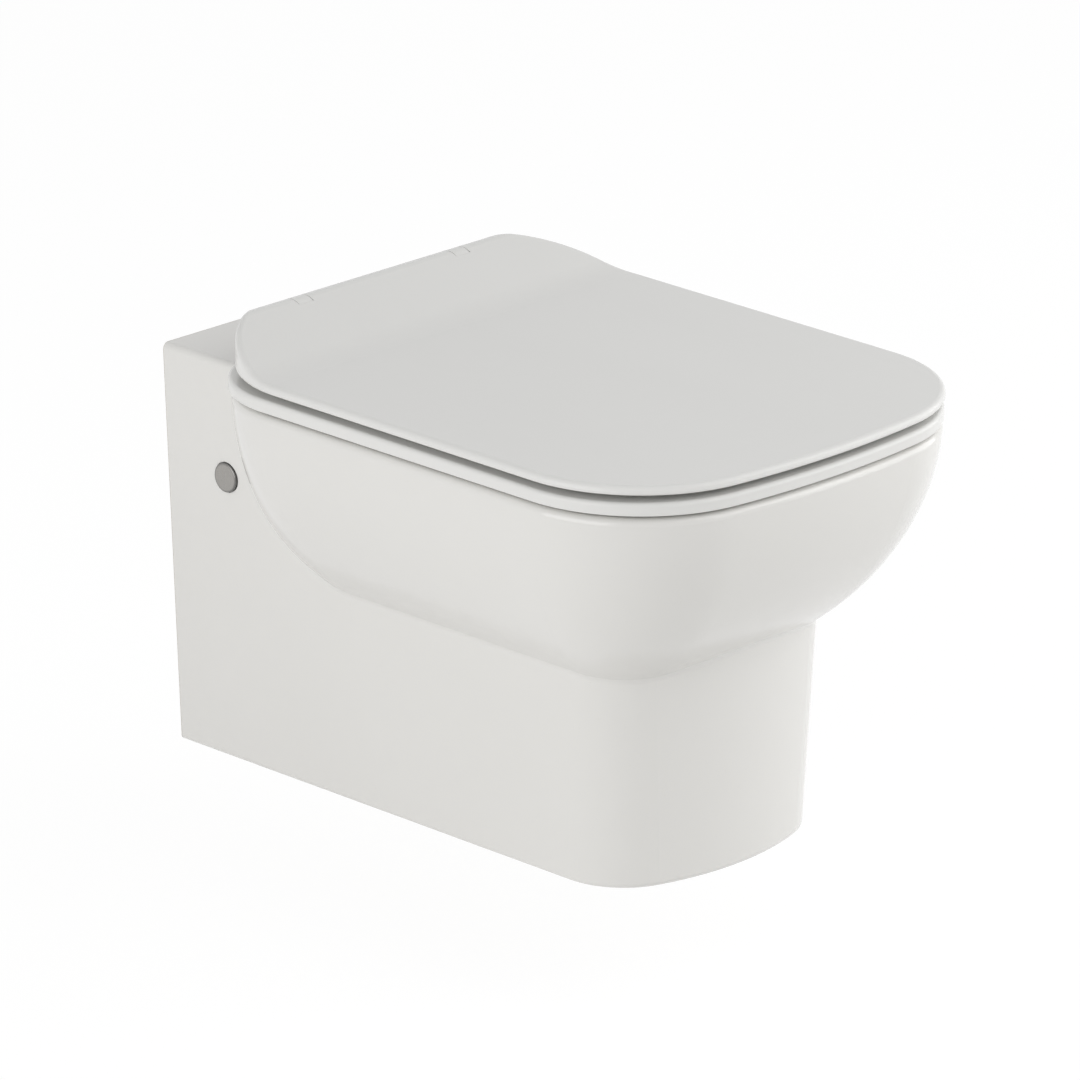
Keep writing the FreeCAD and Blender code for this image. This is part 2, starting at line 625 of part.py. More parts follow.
def add_inner_form(body):
    """Adds the walls of the basin, the trapway, the waste outlet, the flush inlet and its port."""
    sketches = []
    for height in ("rim_height - rim_wall / 2", "rim_height - lip_depth - basin_wall"):
        sketch = level_sketch(body, height)
        lip_plan(sketch, "-basin_wall")
        sketches.append(sketch)
    loft(body, "AdditiveLoft", sketches)
    sketches = []
    for level in BASIN_LEVELS:
        drop = f"(rim_height - lip_depth - sump_floor) * {level}"
        sketch = level_sketch(body, f"rim_height - lip_depth - basin_wall - {drop}")
        basin_plan(sketch, level, "basin_wall")
        sketches.append(sketch)
    loft(body, "AdditiveLoft", sketches)
    add_trapway(body, "AdditivePipe", "trap_bore + trap_wall")
    sketch = new_sketch(body, "XZ_Plane")
    draw_circle(sketch, "0", OUTLET_HEIGHT, "outlet_radius")
    extrude(body, "Pad", sketch, "outlet_length + trap_wall")
    sketch = new_sketch(body, "XZ_Plane")
    draw_circle(sketch, "0", INLET_HEIGHT, "inlet_bore + inlet_wall")
    extrude(body, "Pad", sketch, "basin_rear + ledge_width")
    sketch = new_sketch(body, "XZ_Plane", f"{PORT_START} - inlet_wall")
    half = "port_width / 2 + inlet_wall"
    draw_box(sketch, f"-({half})", half, f"{LEDGE_HEIGHT} - inlet_wall", "rim_height - rim_wall / 2")
    extrude(body, "Pad", sketch, f"basin_rear - {PORT_START} + inlet_wall")


def add_trapway(body, kind, radius):
    """Sweeps a round section along the trapway, from the sump over the weir to the wall."""
    path = new_sketch(body, "YZ_Plane")
    corners = (
        ("-trap_start", "trap_low"),
        ("-trap_dip", "trap_low"),
        ("-trap_weir", "trap_weir_height"),
        ("-trap_drop", OUTLET_HEIGHT),
        ("0", OUTLET_HEIGHT),
    )
    draw_bent_line(path, corners, "trap_bend")
    section = new_sketch(body, "XZ_Plane", "trap_start")
    draw_circle(section, "0", "trap_low", radius)
    add_feature(body, kind, section, Spine=(path, [f"Edge{k}" for k in range(1, 2 * len(corners) - 2)]))


def cut_waterways(body):
    """Cuts the basin, the trapway, the waste outlet, the flush inlet and its port."""
    sketches = []
    for height, inset in (("rim_height", "0"), ("rim_height - lip_depth", "lip_draft")):
        sketch = level_sketch(body, height)
        lip_plan(sketch, inset)
        sketches.append(sketch)
    loft(body, "SubtractiveLoft", sketches)
    opening = sketches[0]

    def is_opening(edge):
        return opening.Shape.distToShape(Part.Vertex(middle_of(edge)))[0] < TOUCH

    round_edges(body, is_opening, "basin_edge_round")
    sketches = []
    for level in BASIN_LEVELS:
        drop = f"(rim_height - lip_depth - sump_floor) * {level}"
        sketch = level_sketch(body, f"rim_height - lip_depth - {drop}")
        basin_plan(sketch, level, "0")
        sketches.append(sketch)
    loft(body, "SubtractiveLoft", sketches)
    add_trapway(body, "SubtractivePipe", "trap_bore")
    for height, radius, length in (
        (OUTLET_HEIGHT, "outlet_bore", "outlet_length"),
        (INLET_HEIGHT, "inlet_bore", "inlet_depth"),
    ):
        sketch = new_sketch(body, "XZ_Plane")
        draw_circle(sketch, "0", height, radius)
        extrude(body, "Pocket", sketch, length, Reversed=True)
    sketch = new_sketch(body, "XZ_Plane", PORT_START)
    draw_box(sketch, "-port_width / 2", "port_width / 2", LEDGE_HEIGHT, f"{LEDGE_HEIGHT} + port_height")
    extrude(body, "Pocket", sketch, f"basin_rear - {PORT_START} + ledge_width", Reversed=True)


def cut_fixing_holes(body):
    """Cuts the holes for the wall sleeves, the side screws with their caps, and the hinge bolts."""
    for side in ("-1", "1"):
        sketch = new_sketch(body, "XZ_Plane")
        draw_circle(sketch, f"{side} * {STUD_SIDE}", "stud_height", "sleeve_radius + sleeve_hole_gap")
        extrude(body, "Pocket", sketch, "back_plate + shell_wall", Reversed=True)
        sketch = level_sketch(body, "rim_height")
        draw_circle(sketch, f"{side} * {POST_SIDE}", "-hinge_out", "hinge_hole")
        extrude(body, "Pocket", sketch, "2 * rim_wall")
        outside = f"{side} * {RECESS_AT}"
        sketch = new_sketch(body, "YZ_Plane", outside)
        draw_circle(sketch, "-side_screw_out", "stud_height", "cap_radius + side_recess_gap")
        extrude(body, "Pocket", sketch, "shell_wall", Reversed=side == "1")
        sketch = new_sketch(body, "YZ_Plane", outside)
        draw_circle(sketch, "-side_screw_out", "stud_height", "side_hole")
        extrude(body, "Pocket", sketch, "2 * shell_wall", Reversed=side == "-1")


def build_pan():
    """Builds the ceramic pan."""
    body = new_body("pan")
    add_outer_form(body)
    hollow_out(body)
    add_inner_form(body)
    cut_waterways(body)
    cut_fixing_holes(body)
    finish(place(body), "ceramic_pan")


# Wall fixing

def build_wall_fixing():
    """Builds the sleeves on the wall's studs and the screws, bushes and caps that clamp the pan to them."""
    groove = "groove_depth"
    sleeve = turned_body("sleeve", (
        ("sleeve_bore", "0"),
        ("sleeve_radius", "0"),
        ("sleeve_radius", f"side_screw_out - {groove} - side_screw_radius"),
        (f"sleeve_radius - {groove}", "side_screw_out - side_screw_radius"),
        (f"sleeve_radius - {groove}", "side_screw_out + side_screw_radius"),
        ("sleeve_radius", f"side_screw_out + {groove} + side_screw_radius"),
        ("sleeve_radius", "sleeve_length"),
        ("sleeve_bore", "sleeve_length"),
    ))
    finish_pairs([place(sleeve, STUD_SIDE, "0", "stud_height", TURN_TO_FRONT)], "wall_sleeves")

    tip_at = f"({STUD_SIDE} + sleeve_radius - groove_depth)"
    screw = turned_body("side_screw", (
        ("0", "0"),
        ("side_screw_radius / 2", "0"),
        ("side_screw_radius", "side_tip"),
        ("side_screw_radius", "side_screw_length"),
        ("0", "side_screw_length"),
    ))
    finish_pairs([place(screw, tip_at, "-side_screw_out", "stud_height", TURN_TO_SIDE)], "side_screws")

    bush = turned_body("side_bush", tube_profile(
        "side_screw_radius + fit_gap", "side_hole - fit_gap", "0", "bush_length"))
    bush_at = f"{RECESS_AT} - bush_length"
    finish_pairs([place(bush, bush_at, "-side_screw_out", "stud_height", TURN_TO_SIDE)], "side_bushes")

    cap = turned_body("side_cap", (
        ("0", "0"),
        ("cap_radius", "0"),
        ("cap_radius", "cap_thick"),
        ("0", "cap_thick"),
    ))
    round_edges(cap, lambda edge: is_level(edge, "cap_thick"), "cap_edge")
    finish_pairs([place(cap, RECESS_AT, "-side_screw_out", "stud_height", TURN_TO_SIDE)], "side_caps")

    seal = turned_body("inlet_seal", tube_profile(
        "seal_bore", "inlet_bore - fit_gap", "seal_set_back", "seal_set_back + seal_length"))
    finish(place(seal, "0", "0", INLET_HEIGHT, TURN_TO_FRONT), "inlet_seal")


# Hinge posts

def build_post():
    """Builds one hinge post: a foot on the deck, a boss for its bolt, a neck and a barrel round the pin."""
    post = new_body("post")
    foot_at = "rim_height + gasket_thick"
    sketch = level_sketch(post, foot_at)
    draw_circle(sketch, POST_SIDE, "-hinge_out", "post_foot")
    extrude(post, "Pad", sketch, "post_foot_thick")
    sketch = level_sketch(post, foot_at)
    draw_box(sketch, POST_INNER, POST_OUTER, "-hinge_out - post_neck / 2", "-hinge_out + post_neck / 2")
    extrude(post, "Pad", sketch, "hinge_rise - gasket_thick")
    sketch = level_sketch(post, foot_at)
    draw_circle(sketch, POST_SIDE, "-hinge_out", "post_boss")
    extrude(post, "Pad", sketch, "bolt_above + post_boss_over")
    sketch = new_sketch(post, "YZ_Plane", POST_INNER)
    draw_circle(sketch, "-hinge_out", AXIS_HEIGHT, "barrel_radius")
    extrude(post, "Pad", sketch, "post_width")
    sketch = new_sketch(post, "YZ_Plane", POST_INNER)
    draw_circle(sketch, "-hinge_out", AXIS_HEIGHT, "pin_radius + run_gap")
    extrude(post, "Pocket", sketch, "post_width", Reversed=True)
    sketch = level_sketch(post, foot_at)
    draw_circle(sketch, POST_SIDE, "-hinge_out", "bolt_radius + fit_gap")
    extrude(post, "Pocket", sketch, "bolt_above", Reversed=True)
    finish(place(post), "hinge_post_right")
    finish(mirror(post), "hinge_post_left")


def build_post_fixing():
    """Builds the pins through the posts and what holds the posts to the deck."""
    pin_start = f"({BARREL_END} - pin_reach)"
    pin = turned_body("pin", (
        ("0", "0"),
        ("pin_radius", "0"),
        ("pin_radius", f"{POST_OUTER} - {pin_start}"),
        ("0", f"{POST_OUTER} - {pin_start}"),
    ))
    place(pin, pin_start, "-hinge_out", AXIS_HEIGHT, TURN_TO_SIDE)
    finish(pin, "hinge_pin_right")
    finish(mirror(pin), "hinge_pin_left")

    def at_bolt(body):
        return place(body, POST_SIDE, "-hinge_out", "rim_height")

    gasket = turned_body("gasket", tube_profile("hinge_hole", "post_foot", "0", "gasket_thick"))
    finish_pairs([at_bolt(gasket)], "hinge_gaskets")
    bolt_top = "gasket_thick + bolt_above"
    bolt = turned_body("bolt", (
        ("0", "-bolt_below"),
        ("bolt_radius", "-bolt_below"),
        ("bolt_radius", bolt_top),
        ("0", bolt_top),
    ))
    finish_pairs([at_bolt(bolt)], "hinge_bolts")
    plug_low = "-rim_wall - plug_length"
    bulge_slope = "(plug_bulge - hinge_hole)"
    plug = turned_body("plug", (
        ("bolt_radius + fit_gap", "0"),
        ("bolt_radius + fit_gap", plug_low),
        ("hinge_hole - fit_gap", plug_low),
        ("plug_bulge", f"{plug_low} + {bulge_slope}"),
        ("plug_bulge", "-rim_wall - fit_gap"),
        ("hinge_hole - fit_gap", "-rim_wall - fit_gap"),
        ("hinge_hole - fit_gap", "0"),
    ))
    finish_pairs([at_bolt(plug)], "hinge_expansion_plugs")
    nut = turned_body("nut", (
        ("bolt_radius + fit_gap", plug_low),
        ("bolt_radius + fit_gap", f"{plug_low} - nut_height"),
        ("nut_radius", f"{plug_low} - nut_height"),
        ("nut_radius", f"{plug_low} - (nut_radius - nut_tip)"),
        ("nut_tip", plug_low),
    ))
    finish_pairs([at_bolt(nut)], "hinge_cone_nuts")


# Seat

def build_seat_ring():
    """Builds the seat ring with the two lugs that its hinge pins pass through."""
    ring = new_body("ring")
    sketch = level_sketch(ring, SEAT_LOW)
    draw_plan(
        sketch, SEAT_WIDTH, SEAT_FRONT, "seat_rear",
        "rim_front_corner", "rim_front_bow", "seat_rear_corner")
    draw_plan(
        sketch, SEAT_OPEN_WIDTH, SEAT_OPEN_FRONT, "seat_open_rear",
        "seat_open_front_corner", "seat_open_bow", "seat_open_rear_corner")
    extrude(ring, "Pad", sketch, "seat_thick")
    round_edges(ring, lambda edge: is_level(edge, SEAT_TOP), "seat_round")
    round_edges(ring, lambda edge: is_level(edge, SEAT_LOW), "seat_low_round")
    for sign in ("-1", "1"):
        sketch = level_sketch(ring, "rim_height")
        middle = f"{sign} * {POST_SIDE}"
        reach = "(post_foot + foot_gap)"
        draw_box(sketch, f"{middle} - {reach}", f"{middle} + {reach}", f"-hinge_out - {reach}", "0")
        extrude(ring, "Pocket", sketch, "hinge_rise", Reversed=True)
    for start in (LUG_INNER, f"-{LUG_OUTER}"):
        sketch = new_sketch(ring, "YZ_Plane", start)
        rear = "-hinge_out + lug_back"
        draw_box(sketch, "-hinge_out - lug_radius", rear, f"{AXIS_HEIGHT} - lug_drop", AXIS_HEIGHT)
        extrude(ring, "Pad", sketch, "lug_width")
        sketch = new_sketch(ring, "YZ_Plane", start)
        draw_circle(sketch, "-hinge_out", AXIS_HEIGHT, "lug_radius")
        extrude(ring, "Pad", sketch, "lug_width")
        sketch = new_sketch(ring, "YZ_Plane", start)
        draw_circle(sketch, "-hinge_out", AXIS_HEIGHT, "damper_radius + fit_gap")
        extrude(ring, "Pocket", sketch, "lug_width", Reversed=True)
    for out, side in BUFFER_SPOTS:
        for sign in ("-1", "1"):
            sketch = level_sketch(ring, SEAT_LOW)
            draw_circle(sketch, f"{sign} * {side}", f"-{out}", "buffer_radius + fit_gap")
            extrude(ring, "Pocket", sketch, "buffer_recess", Reversed=True)
    finish(place(ring), "seat_ring")


def build_seat_fittings():
    """Builds the seat's buffers, its damper in the right lug and its plain bush in the left one."""
    buffers = []
    for out, side in BUFFER_SPOTS:
        pad = turned_body("seat_buffer", (
            ("0", "buffer_gap"),
            ("buffer_radius", "buffer_gap"),
            ("buffer_radius", "seat_gap + buffer_recess - fit_gap"),
            ("0", "seat_gap + buffer_recess - fit_gap"),
        ))
        buffers.append(place(pad, side, f"-{out}", "rim_height"))
    finish_pairs(buffers, "seat_buffers")
    bore = "pin_radius + run_gap"
    damper = turned_body("seat_damper", tube_profile(bore, "damper_radius", "0", "lug_width"))
    finish(place(damper, LUG_INNER, "-hinge_out", AXIS_HEIGHT, TURN_TO_SIDE), "seat_damper")
    bush = turned_body("seat_bush", tube_profile(bore, "damper_radius", "0", "lug_width"))
    finish(place(bush, f"-{LUG_OUTER}", "-hinge_out", AXIS_HEIGHT, TURN_TO_SIDE), "seat_bush")


# Lid

def draw_lid_side(sketch):
    """Draws the lid seen from the side: a flat panel that ramps up to a ridge over the hinge."""
    top = value(LID_TOP)
    low = value(LID_LOW)
    crest = value(BARREL_TOP)
    front = value(LID_BEYOND)
    foot_round = value("ramp_foot")
    ridge_round = value("barrel_radius")
    foot_middle = FreeCAD.Vector(-value("ramp_out"), top + foot_round, 0)
    ridge_middle = FreeCAD.Vector(-value("hinge_out"), value(AXIS_HEIGHT), 0)
    across = ridge_middle - foot_middle
    slope = math.atan2(across.y, across.x) + math.asin((foot_round + ridge_round) / across.Length)
    upright = FreeCAD.Vector(-math.sin(slope), math.cos(slope), 0)
    ramp_start = foot_middle - upright * foot_round
    ramp_end = ridge_middle + upright * ridge_round
    underside = draw_line(sketch, 0, low, -front, low)
    end = draw_line(sketch, -front, low, -front, top)
    panel = draw_line(sketch, -front, top, foot_middle.x, top)
    hollow = draw_arc(sketch, foot_middle, foot_round, -math.pi / 2, slope - math.pi / 2)
    ramp = draw_line(sketch, ramp_start.x, ramp_start.y, ramp_end.x, ramp_end.y)
    swell = draw_arc(sketch, ridge_middle, ridge_round, math.pi / 2, math.pi / 2 + slope)
    ridge = draw_line(sketch, ridge_middle.x, crest, 0, crest)
    back = draw_line(sketch, 0, crest, 0, low)
    for pair in ((underside, 2, end, 1), (end, 2, panel, 1), (ridge, 2, back, 1), (back, 2, underside, 1)):
        sketch.addConstraint(Sketcher.Constraint("Coincident", *pair))
    for pair in ((panel, 2, hollow, 1), (hollow, 2, ramp, 1), (ramp, 2, swell, 2), (swell, 1, ridge, 1)):
        sketch.addConstraint(Sketcher.Constraint("Tangent", *pair))
    for line in (underside, panel, ridge):
        sketch.addConstraint(Sketcher.Constraint("Horizontal", line))
    sketch.addConstraint(Sketcher.Constraint("Vertical", end))
    sketch.addConstraint(Sketcher.Constraint("PointOnObject", back, 1, V_AXIS))
    sketch.addConstraint(Sketcher.Constraint("PointOnObject", back, 2, V_AXIS))
    pin_point(sketch, end, 1, f"-{LID_BEYOND}", LID_LOW)
    pin_point(sketch, panel, 2, "-ramp_out", LID_TOP)
    pin_point(sketch, swell, 3, "-hinge_out", AXIS_HEIGHT)
    bind(sketch, "Radius", (hollow,), "ramp_foot")
    bind(sketch, "Radius", (swell,), "barrel_radius")


def draw_heel(sketch):
    """Draws what is taken off behind the hinge axis, so that the lid's rear edge turns as a barrel."""
    out = -value("hinge_out")
    height = value(AXIS_HEIGHT)
    radius = value("barrel_radius")
    arc = draw_arc(sketch, FreeCAD.Vector(out, height, 0), radius, -math.pi / 2, math.pi / 2)
    lines = [
        draw_line(sketch, out, height + radius, out, height + 2 * radius),
        draw_line(sketch, out, height + 2 * radius, out + 2 * radius, height + 2 * radius),
        draw_line(sketch, out + 2 * radius, height + 2 * radius, out + 2 * radius, height - 2 * radius),
        draw_line(sketch, out + 2 * radius, height - 2 * radius, out, height - 2 * radius),
        draw_line(sketch, out, height - 2 * radius, out, height - radius),
    ]
    for first, second in zip(lines, lines[1:]):
        sketch.addConstraint(Sketcher.Constraint("Coincident", first, 2, second, 1))
    sketch.addConstraint(Sketcher.Constraint("Coincident", arc, 2, lines[0], 1))
    sketch.addConstraint(Sketcher.Constraint("Coincident", lines[-1], 2, arc, 1))
    for line in lines[::2]:
        sketch.addConstraint(Sketcher.Constraint("Vertical", line))
    for line in lines[1::2]:
        sketch.addConstraint(Sketcher.Constraint("Horizontal", line))
    pin_point(sketch, arc, 3, "-hinge_out", AXIS_HEIGHT)
    bind(sketch, "Radius", (arc,), "barrel_radius")
    sketch.addConstraint(Sketcher.Constraint("Vertical", arc, 3, arc, 1))
    sketch.addConstraint(Sketcher.Constraint("Vertical", arc, 3, arc, 2))
    pin_point(sketch, lines[1], 2, "-hinge_out + 2 * barrel_radius", f"{AXIS_HEIGHT} + 2 * barrel_radius")
    bind(sketch, "DistanceY", ORIGIN + (lines[2], 2), f"{AXIS_HEIGHT} - 2 * barrel_radius")


def hollow_ridge(lid, start, end, radius, way_out):
    """Hollows the lid's ridge round the hinge axis and opens it along the corners of a way out."""
    sketch = new_sketch(lid, "YZ_Plane", start)
    draw_circle(sketch, "-hinge_out", AXIS_HEIGHT, radius)
    extrude(lid, "Pocket", sketch, f"{end} - ({start})", Reversed=True)
    sketch = new_sketch(lid, "YZ_Plane", start)
    draw_polygon(sketch, way_out)
    extrude(lid, "Pocket", sketch, f"{end} - ({start})", Reversed=True)


def clear_hinge(lid):
    """Makes room in the lid for the seat lugs, which keep a cover on top, and for the hinge posts."""
    low = f"{AXIS_HEIGHT} - 2 * barrel_radius"
    high = f"{AXIS_HEIGHT} + 2 * barrel_radius"
    behind = "-hinge_out + 4 * cover_back"
    below_lug = (
        ("-hinge_out", AXIS_HEIGHT),
        (COVER_FRONT, AXIS_HEIGHT),
        (COVER_FRONT, low),
        (behind, low),
        (behind, high),
        ("-hinge_out + 2 * cover_back", high),
    )
    below_post = (
        (NECK_FRONT, AXIS_HEIGHT),
        (NECK_FRONT, low),
        (behind, low),
        (behind, AXIS_HEIGHT),
    )
    for start, end in ((BARREL_END, LUG_OUTER), (f"-{LUG_OUTER}", f"-{BARREL_END}")):
        hollow_ridge(lid, start, end, "lug_radius + cover_gap", below_lug)
    for start, end in ((LUG_OUTER, POST_CLEAR), (f"-{POST_CLEAR}", f"-{LUG_OUTER}")):
        hollow_ridge(lid, start, end, "barrel_radius + notch_gap", below_post)


def build_lid_shell():
    """Builds the lid: its side profile cut to its plan, hollow below, with the hinge barrel at the rear."""
    lid = new_body("lid")
    sketch = new_sketch(lid, "YZ_Plane")
    draw_lid_side(sketch)
    extrude(lid, "Pad", sketch, f"{LID_WIDTH} + 2 * lid_lip", SideType="Symmetric")
    plan = level_sketch(lid, "rim_height")
    beyond = f"({LID_WIDTH} / 2 + 2 * lid_lip)"
    draw_plan(
        plan, LID_WIDTH, LID_FRONT, "hinge_out - barrel_radius",
        "rim_front_corner", "rim_front_bow", "lid_rear_corner")
    draw_box(plan, f"-{beyond}", beyond, f"-{LID_BEYOND} - lid_lip", "lid_lip")
    extrude(lid, "Pocket", plan, LID_SPAN, Reversed=True)
    doc.recompute()
    outline = min(plan.Shape.Wires, key=lambda wire: wire.Length)

    def is_rim(edge):
        spot = middle_of(edge)
        level = FreeCAD.Vector(spot.x, spot.y, outline.BoundBox.ZMin)
        upright = edge.BoundBox.XLength + edge.BoundBox.YLength < 1
        return not upright and outline.distToShape(Part.Vertex(level))[0] < TOUCH

    round_edges(lid, lambda edge: is_rim(edge) and middle_of(edge).z > value(LID_TOP) - TOUCH, "lid_round")
    round_edges(lid, lambda edge: is_rim(edge) and is_level(edge, LID_LOW), "lid_low_round")
    sketch = level_sketch(lid, LID_LOW)
    draw_plan(
        sketch, f"{LID_WIDTH} - 2 * lid_lip", f"{LID_FRONT} - lid_lip", "recess_rear",
        "rim_front_corner - lid_lip", "rim_front_bow - lid_lip", "recess_rear_corner")
    extrude(lid, "Pocket", sketch, "lid_thick - lid_skin", Reversed=True)
    sketch = new_sketch(lid, "YZ_Plane")
    draw_heel(sketch)
    extrude(lid, "Pocket", sketch, f"{LID_WIDTH} + 2 * lid_lip", SideType="Symmetric")
    sketch = new_sketch(lid, "YZ_Plane")
    draw_circle(sketch, "-hinge_out", AXIS_HEIGHT, "barrel_radius")
    extrude(lid, "Pad", sketch, f"2 * {BARREL_END}", SideType="Symmetric")
    clear_hinge(lid)
    for start, inward in ((BARREL_END, False), (f"-{BARREL_END}", True)):
        sketch = new_sketch(lid, "YZ_Plane", start)
        draw_circle(sketch, "-hinge_out", AXIS_HEIGHT, "damper_radius + fit_gap")
        extrude(lid, "Pocket", sketch, "lid_bush_length + barrel_gap", Reversed=inward)
    finish(place(lid), "lid_shell")


def build_lid_fittings():
    """Builds the lid's buffers, its damper at the left end of its barrel and its bush at the right end."""
    buffers = []
    height = "(lid_gap + lid_thick - lid_skin)"
    for out, side in BUFFER_SPOTS:
        pad = turned_body("lid_buffer", (
            ("0", "buffer_gap"),
            ("buffer_radius", "buffer_gap"),
            ("buffer_radius", height),
            ("0", height),
        ))
        buffers.append(place(pad, side, f"-{out}", SEAT_TOP))
    finish_pairs(buffers, "lid_buffers")
    bore = "pin_radius + run_gap"
    damper = turned_body("lid_damper", tube_profile(bore, "damper_radius", "0", "lid_bush_length"))
    finish(place(damper, f"-{BARREL_END}", "-hinge_out", AXIS_HEIGHT, TURN_TO_SIDE), "lid_damper")
    bush = turned_body("lid_bush", tube_profile(bore, "damper_radius", "0", "lid_bush_length"))
    start = f"{BARREL_END} - lid_bush_length"
    finish(place(bush, start, "-hinge_out", AXIS_HEIGHT, TURN_TO_SIDE), "lid_bush")


# Checks and files

def check_and_write():
    """Stops at any failed object, then writes each sub-part to its own file."""
    doc.recompute()
    for item in doc.Objects:
        if "Invalid" in item.State or "Error" in item.State:
            raise RuntimeError(f"{item.Name} ({item.TypeId}) failed")
        if item.isDerivedFrom("PartDesign::ProfileBased") and item.BaseFeature:
            if abs(item.Shape.Volume - item.BaseFeature.Shape.Volume) < 1:
                raise RuntimeError(f"{item.Name} changes nothing")
    os.makedirs("parts", exist_ok=True)
    for piece in nodes:
        if piece.Shape.isNull() or not piece.Shape.isValid():
            raise RuntimeError(f"{piece.Label} has no valid shape")
        piece.Shape.exportStep(f"parts/{piece.Label}.step")


build_pan()
build_wall_fixing()
build_post()
build_post_fixing()
build_seat_ring()
build_seat_fittings()
build_lid_shell()
build_lid_fittings()
check_and_write()
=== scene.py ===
"""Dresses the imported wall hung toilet: finishes, small moulded and threaded details, studio and camera.

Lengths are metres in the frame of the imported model: the origin lies on the wall half way between the two
wall studs, +Z is up, the wall is the plane Y = 0 and the front faces -Y.
"""

import json
import logging
import math
from dataclasses import dataclass
from enum import Enum
from typing import Any

import bpy
from mathutils import Matrix, Vector

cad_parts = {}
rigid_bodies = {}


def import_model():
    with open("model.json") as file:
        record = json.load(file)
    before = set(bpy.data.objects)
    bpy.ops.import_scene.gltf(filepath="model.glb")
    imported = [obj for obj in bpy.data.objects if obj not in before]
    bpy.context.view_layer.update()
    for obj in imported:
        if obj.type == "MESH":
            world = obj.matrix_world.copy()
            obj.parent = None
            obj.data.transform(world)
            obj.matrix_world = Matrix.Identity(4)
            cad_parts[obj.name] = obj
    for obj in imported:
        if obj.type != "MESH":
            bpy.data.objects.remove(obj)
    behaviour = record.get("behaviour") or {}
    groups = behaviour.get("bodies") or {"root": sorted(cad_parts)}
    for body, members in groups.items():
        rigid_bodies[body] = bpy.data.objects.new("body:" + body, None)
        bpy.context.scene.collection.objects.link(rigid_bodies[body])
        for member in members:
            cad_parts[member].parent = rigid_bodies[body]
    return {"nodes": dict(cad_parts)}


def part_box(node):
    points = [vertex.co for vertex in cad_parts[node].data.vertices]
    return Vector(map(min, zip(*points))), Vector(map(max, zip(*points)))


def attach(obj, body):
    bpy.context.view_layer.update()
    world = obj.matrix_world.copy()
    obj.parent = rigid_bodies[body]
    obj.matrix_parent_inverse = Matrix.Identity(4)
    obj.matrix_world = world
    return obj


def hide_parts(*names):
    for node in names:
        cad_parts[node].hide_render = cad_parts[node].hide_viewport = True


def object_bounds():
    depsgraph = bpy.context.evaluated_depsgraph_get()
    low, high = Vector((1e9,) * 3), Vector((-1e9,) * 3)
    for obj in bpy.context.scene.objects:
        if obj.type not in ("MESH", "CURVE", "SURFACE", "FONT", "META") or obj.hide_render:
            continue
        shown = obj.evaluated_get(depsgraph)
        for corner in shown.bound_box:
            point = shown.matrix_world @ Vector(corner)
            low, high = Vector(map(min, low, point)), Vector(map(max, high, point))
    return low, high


for leftover in list(bpy.data.objects):
    bpy.data.objects.remove(leftover)

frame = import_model()
CAD_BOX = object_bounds()
LOG = logging.getLogger("wall_hung_toilet")

Colour = tuple[float, float, float]
Point = tuple[float, float, float]
Span = tuple[float, float]

MIX_FIRST, MIX_SECOND, MIX_RESULT = 6, 7, 2
SIDES = (-1, 1)


class Body(Enum):
    """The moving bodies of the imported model."""

    PAN = "pan"
    SEAT = "seat"
    LID = "lid"


class Slot(Enum):
    """Names of the record's material slots for the new pieces, which take their finishes directly."""

    STEEL = "steel"
    FIXING_PLASTIC = "fixing_plastic"
    RUBBER = "rubber"
    BUFFER_RUBBER = "buffer_rubber"


@dataclass(frozen=True)
class Waves:
    """A noise pattern: its waves per metre, and how many finer waves it has and how strong they are."""

    scale: float
    detail: float = 2.0
    rough: float = 0.5


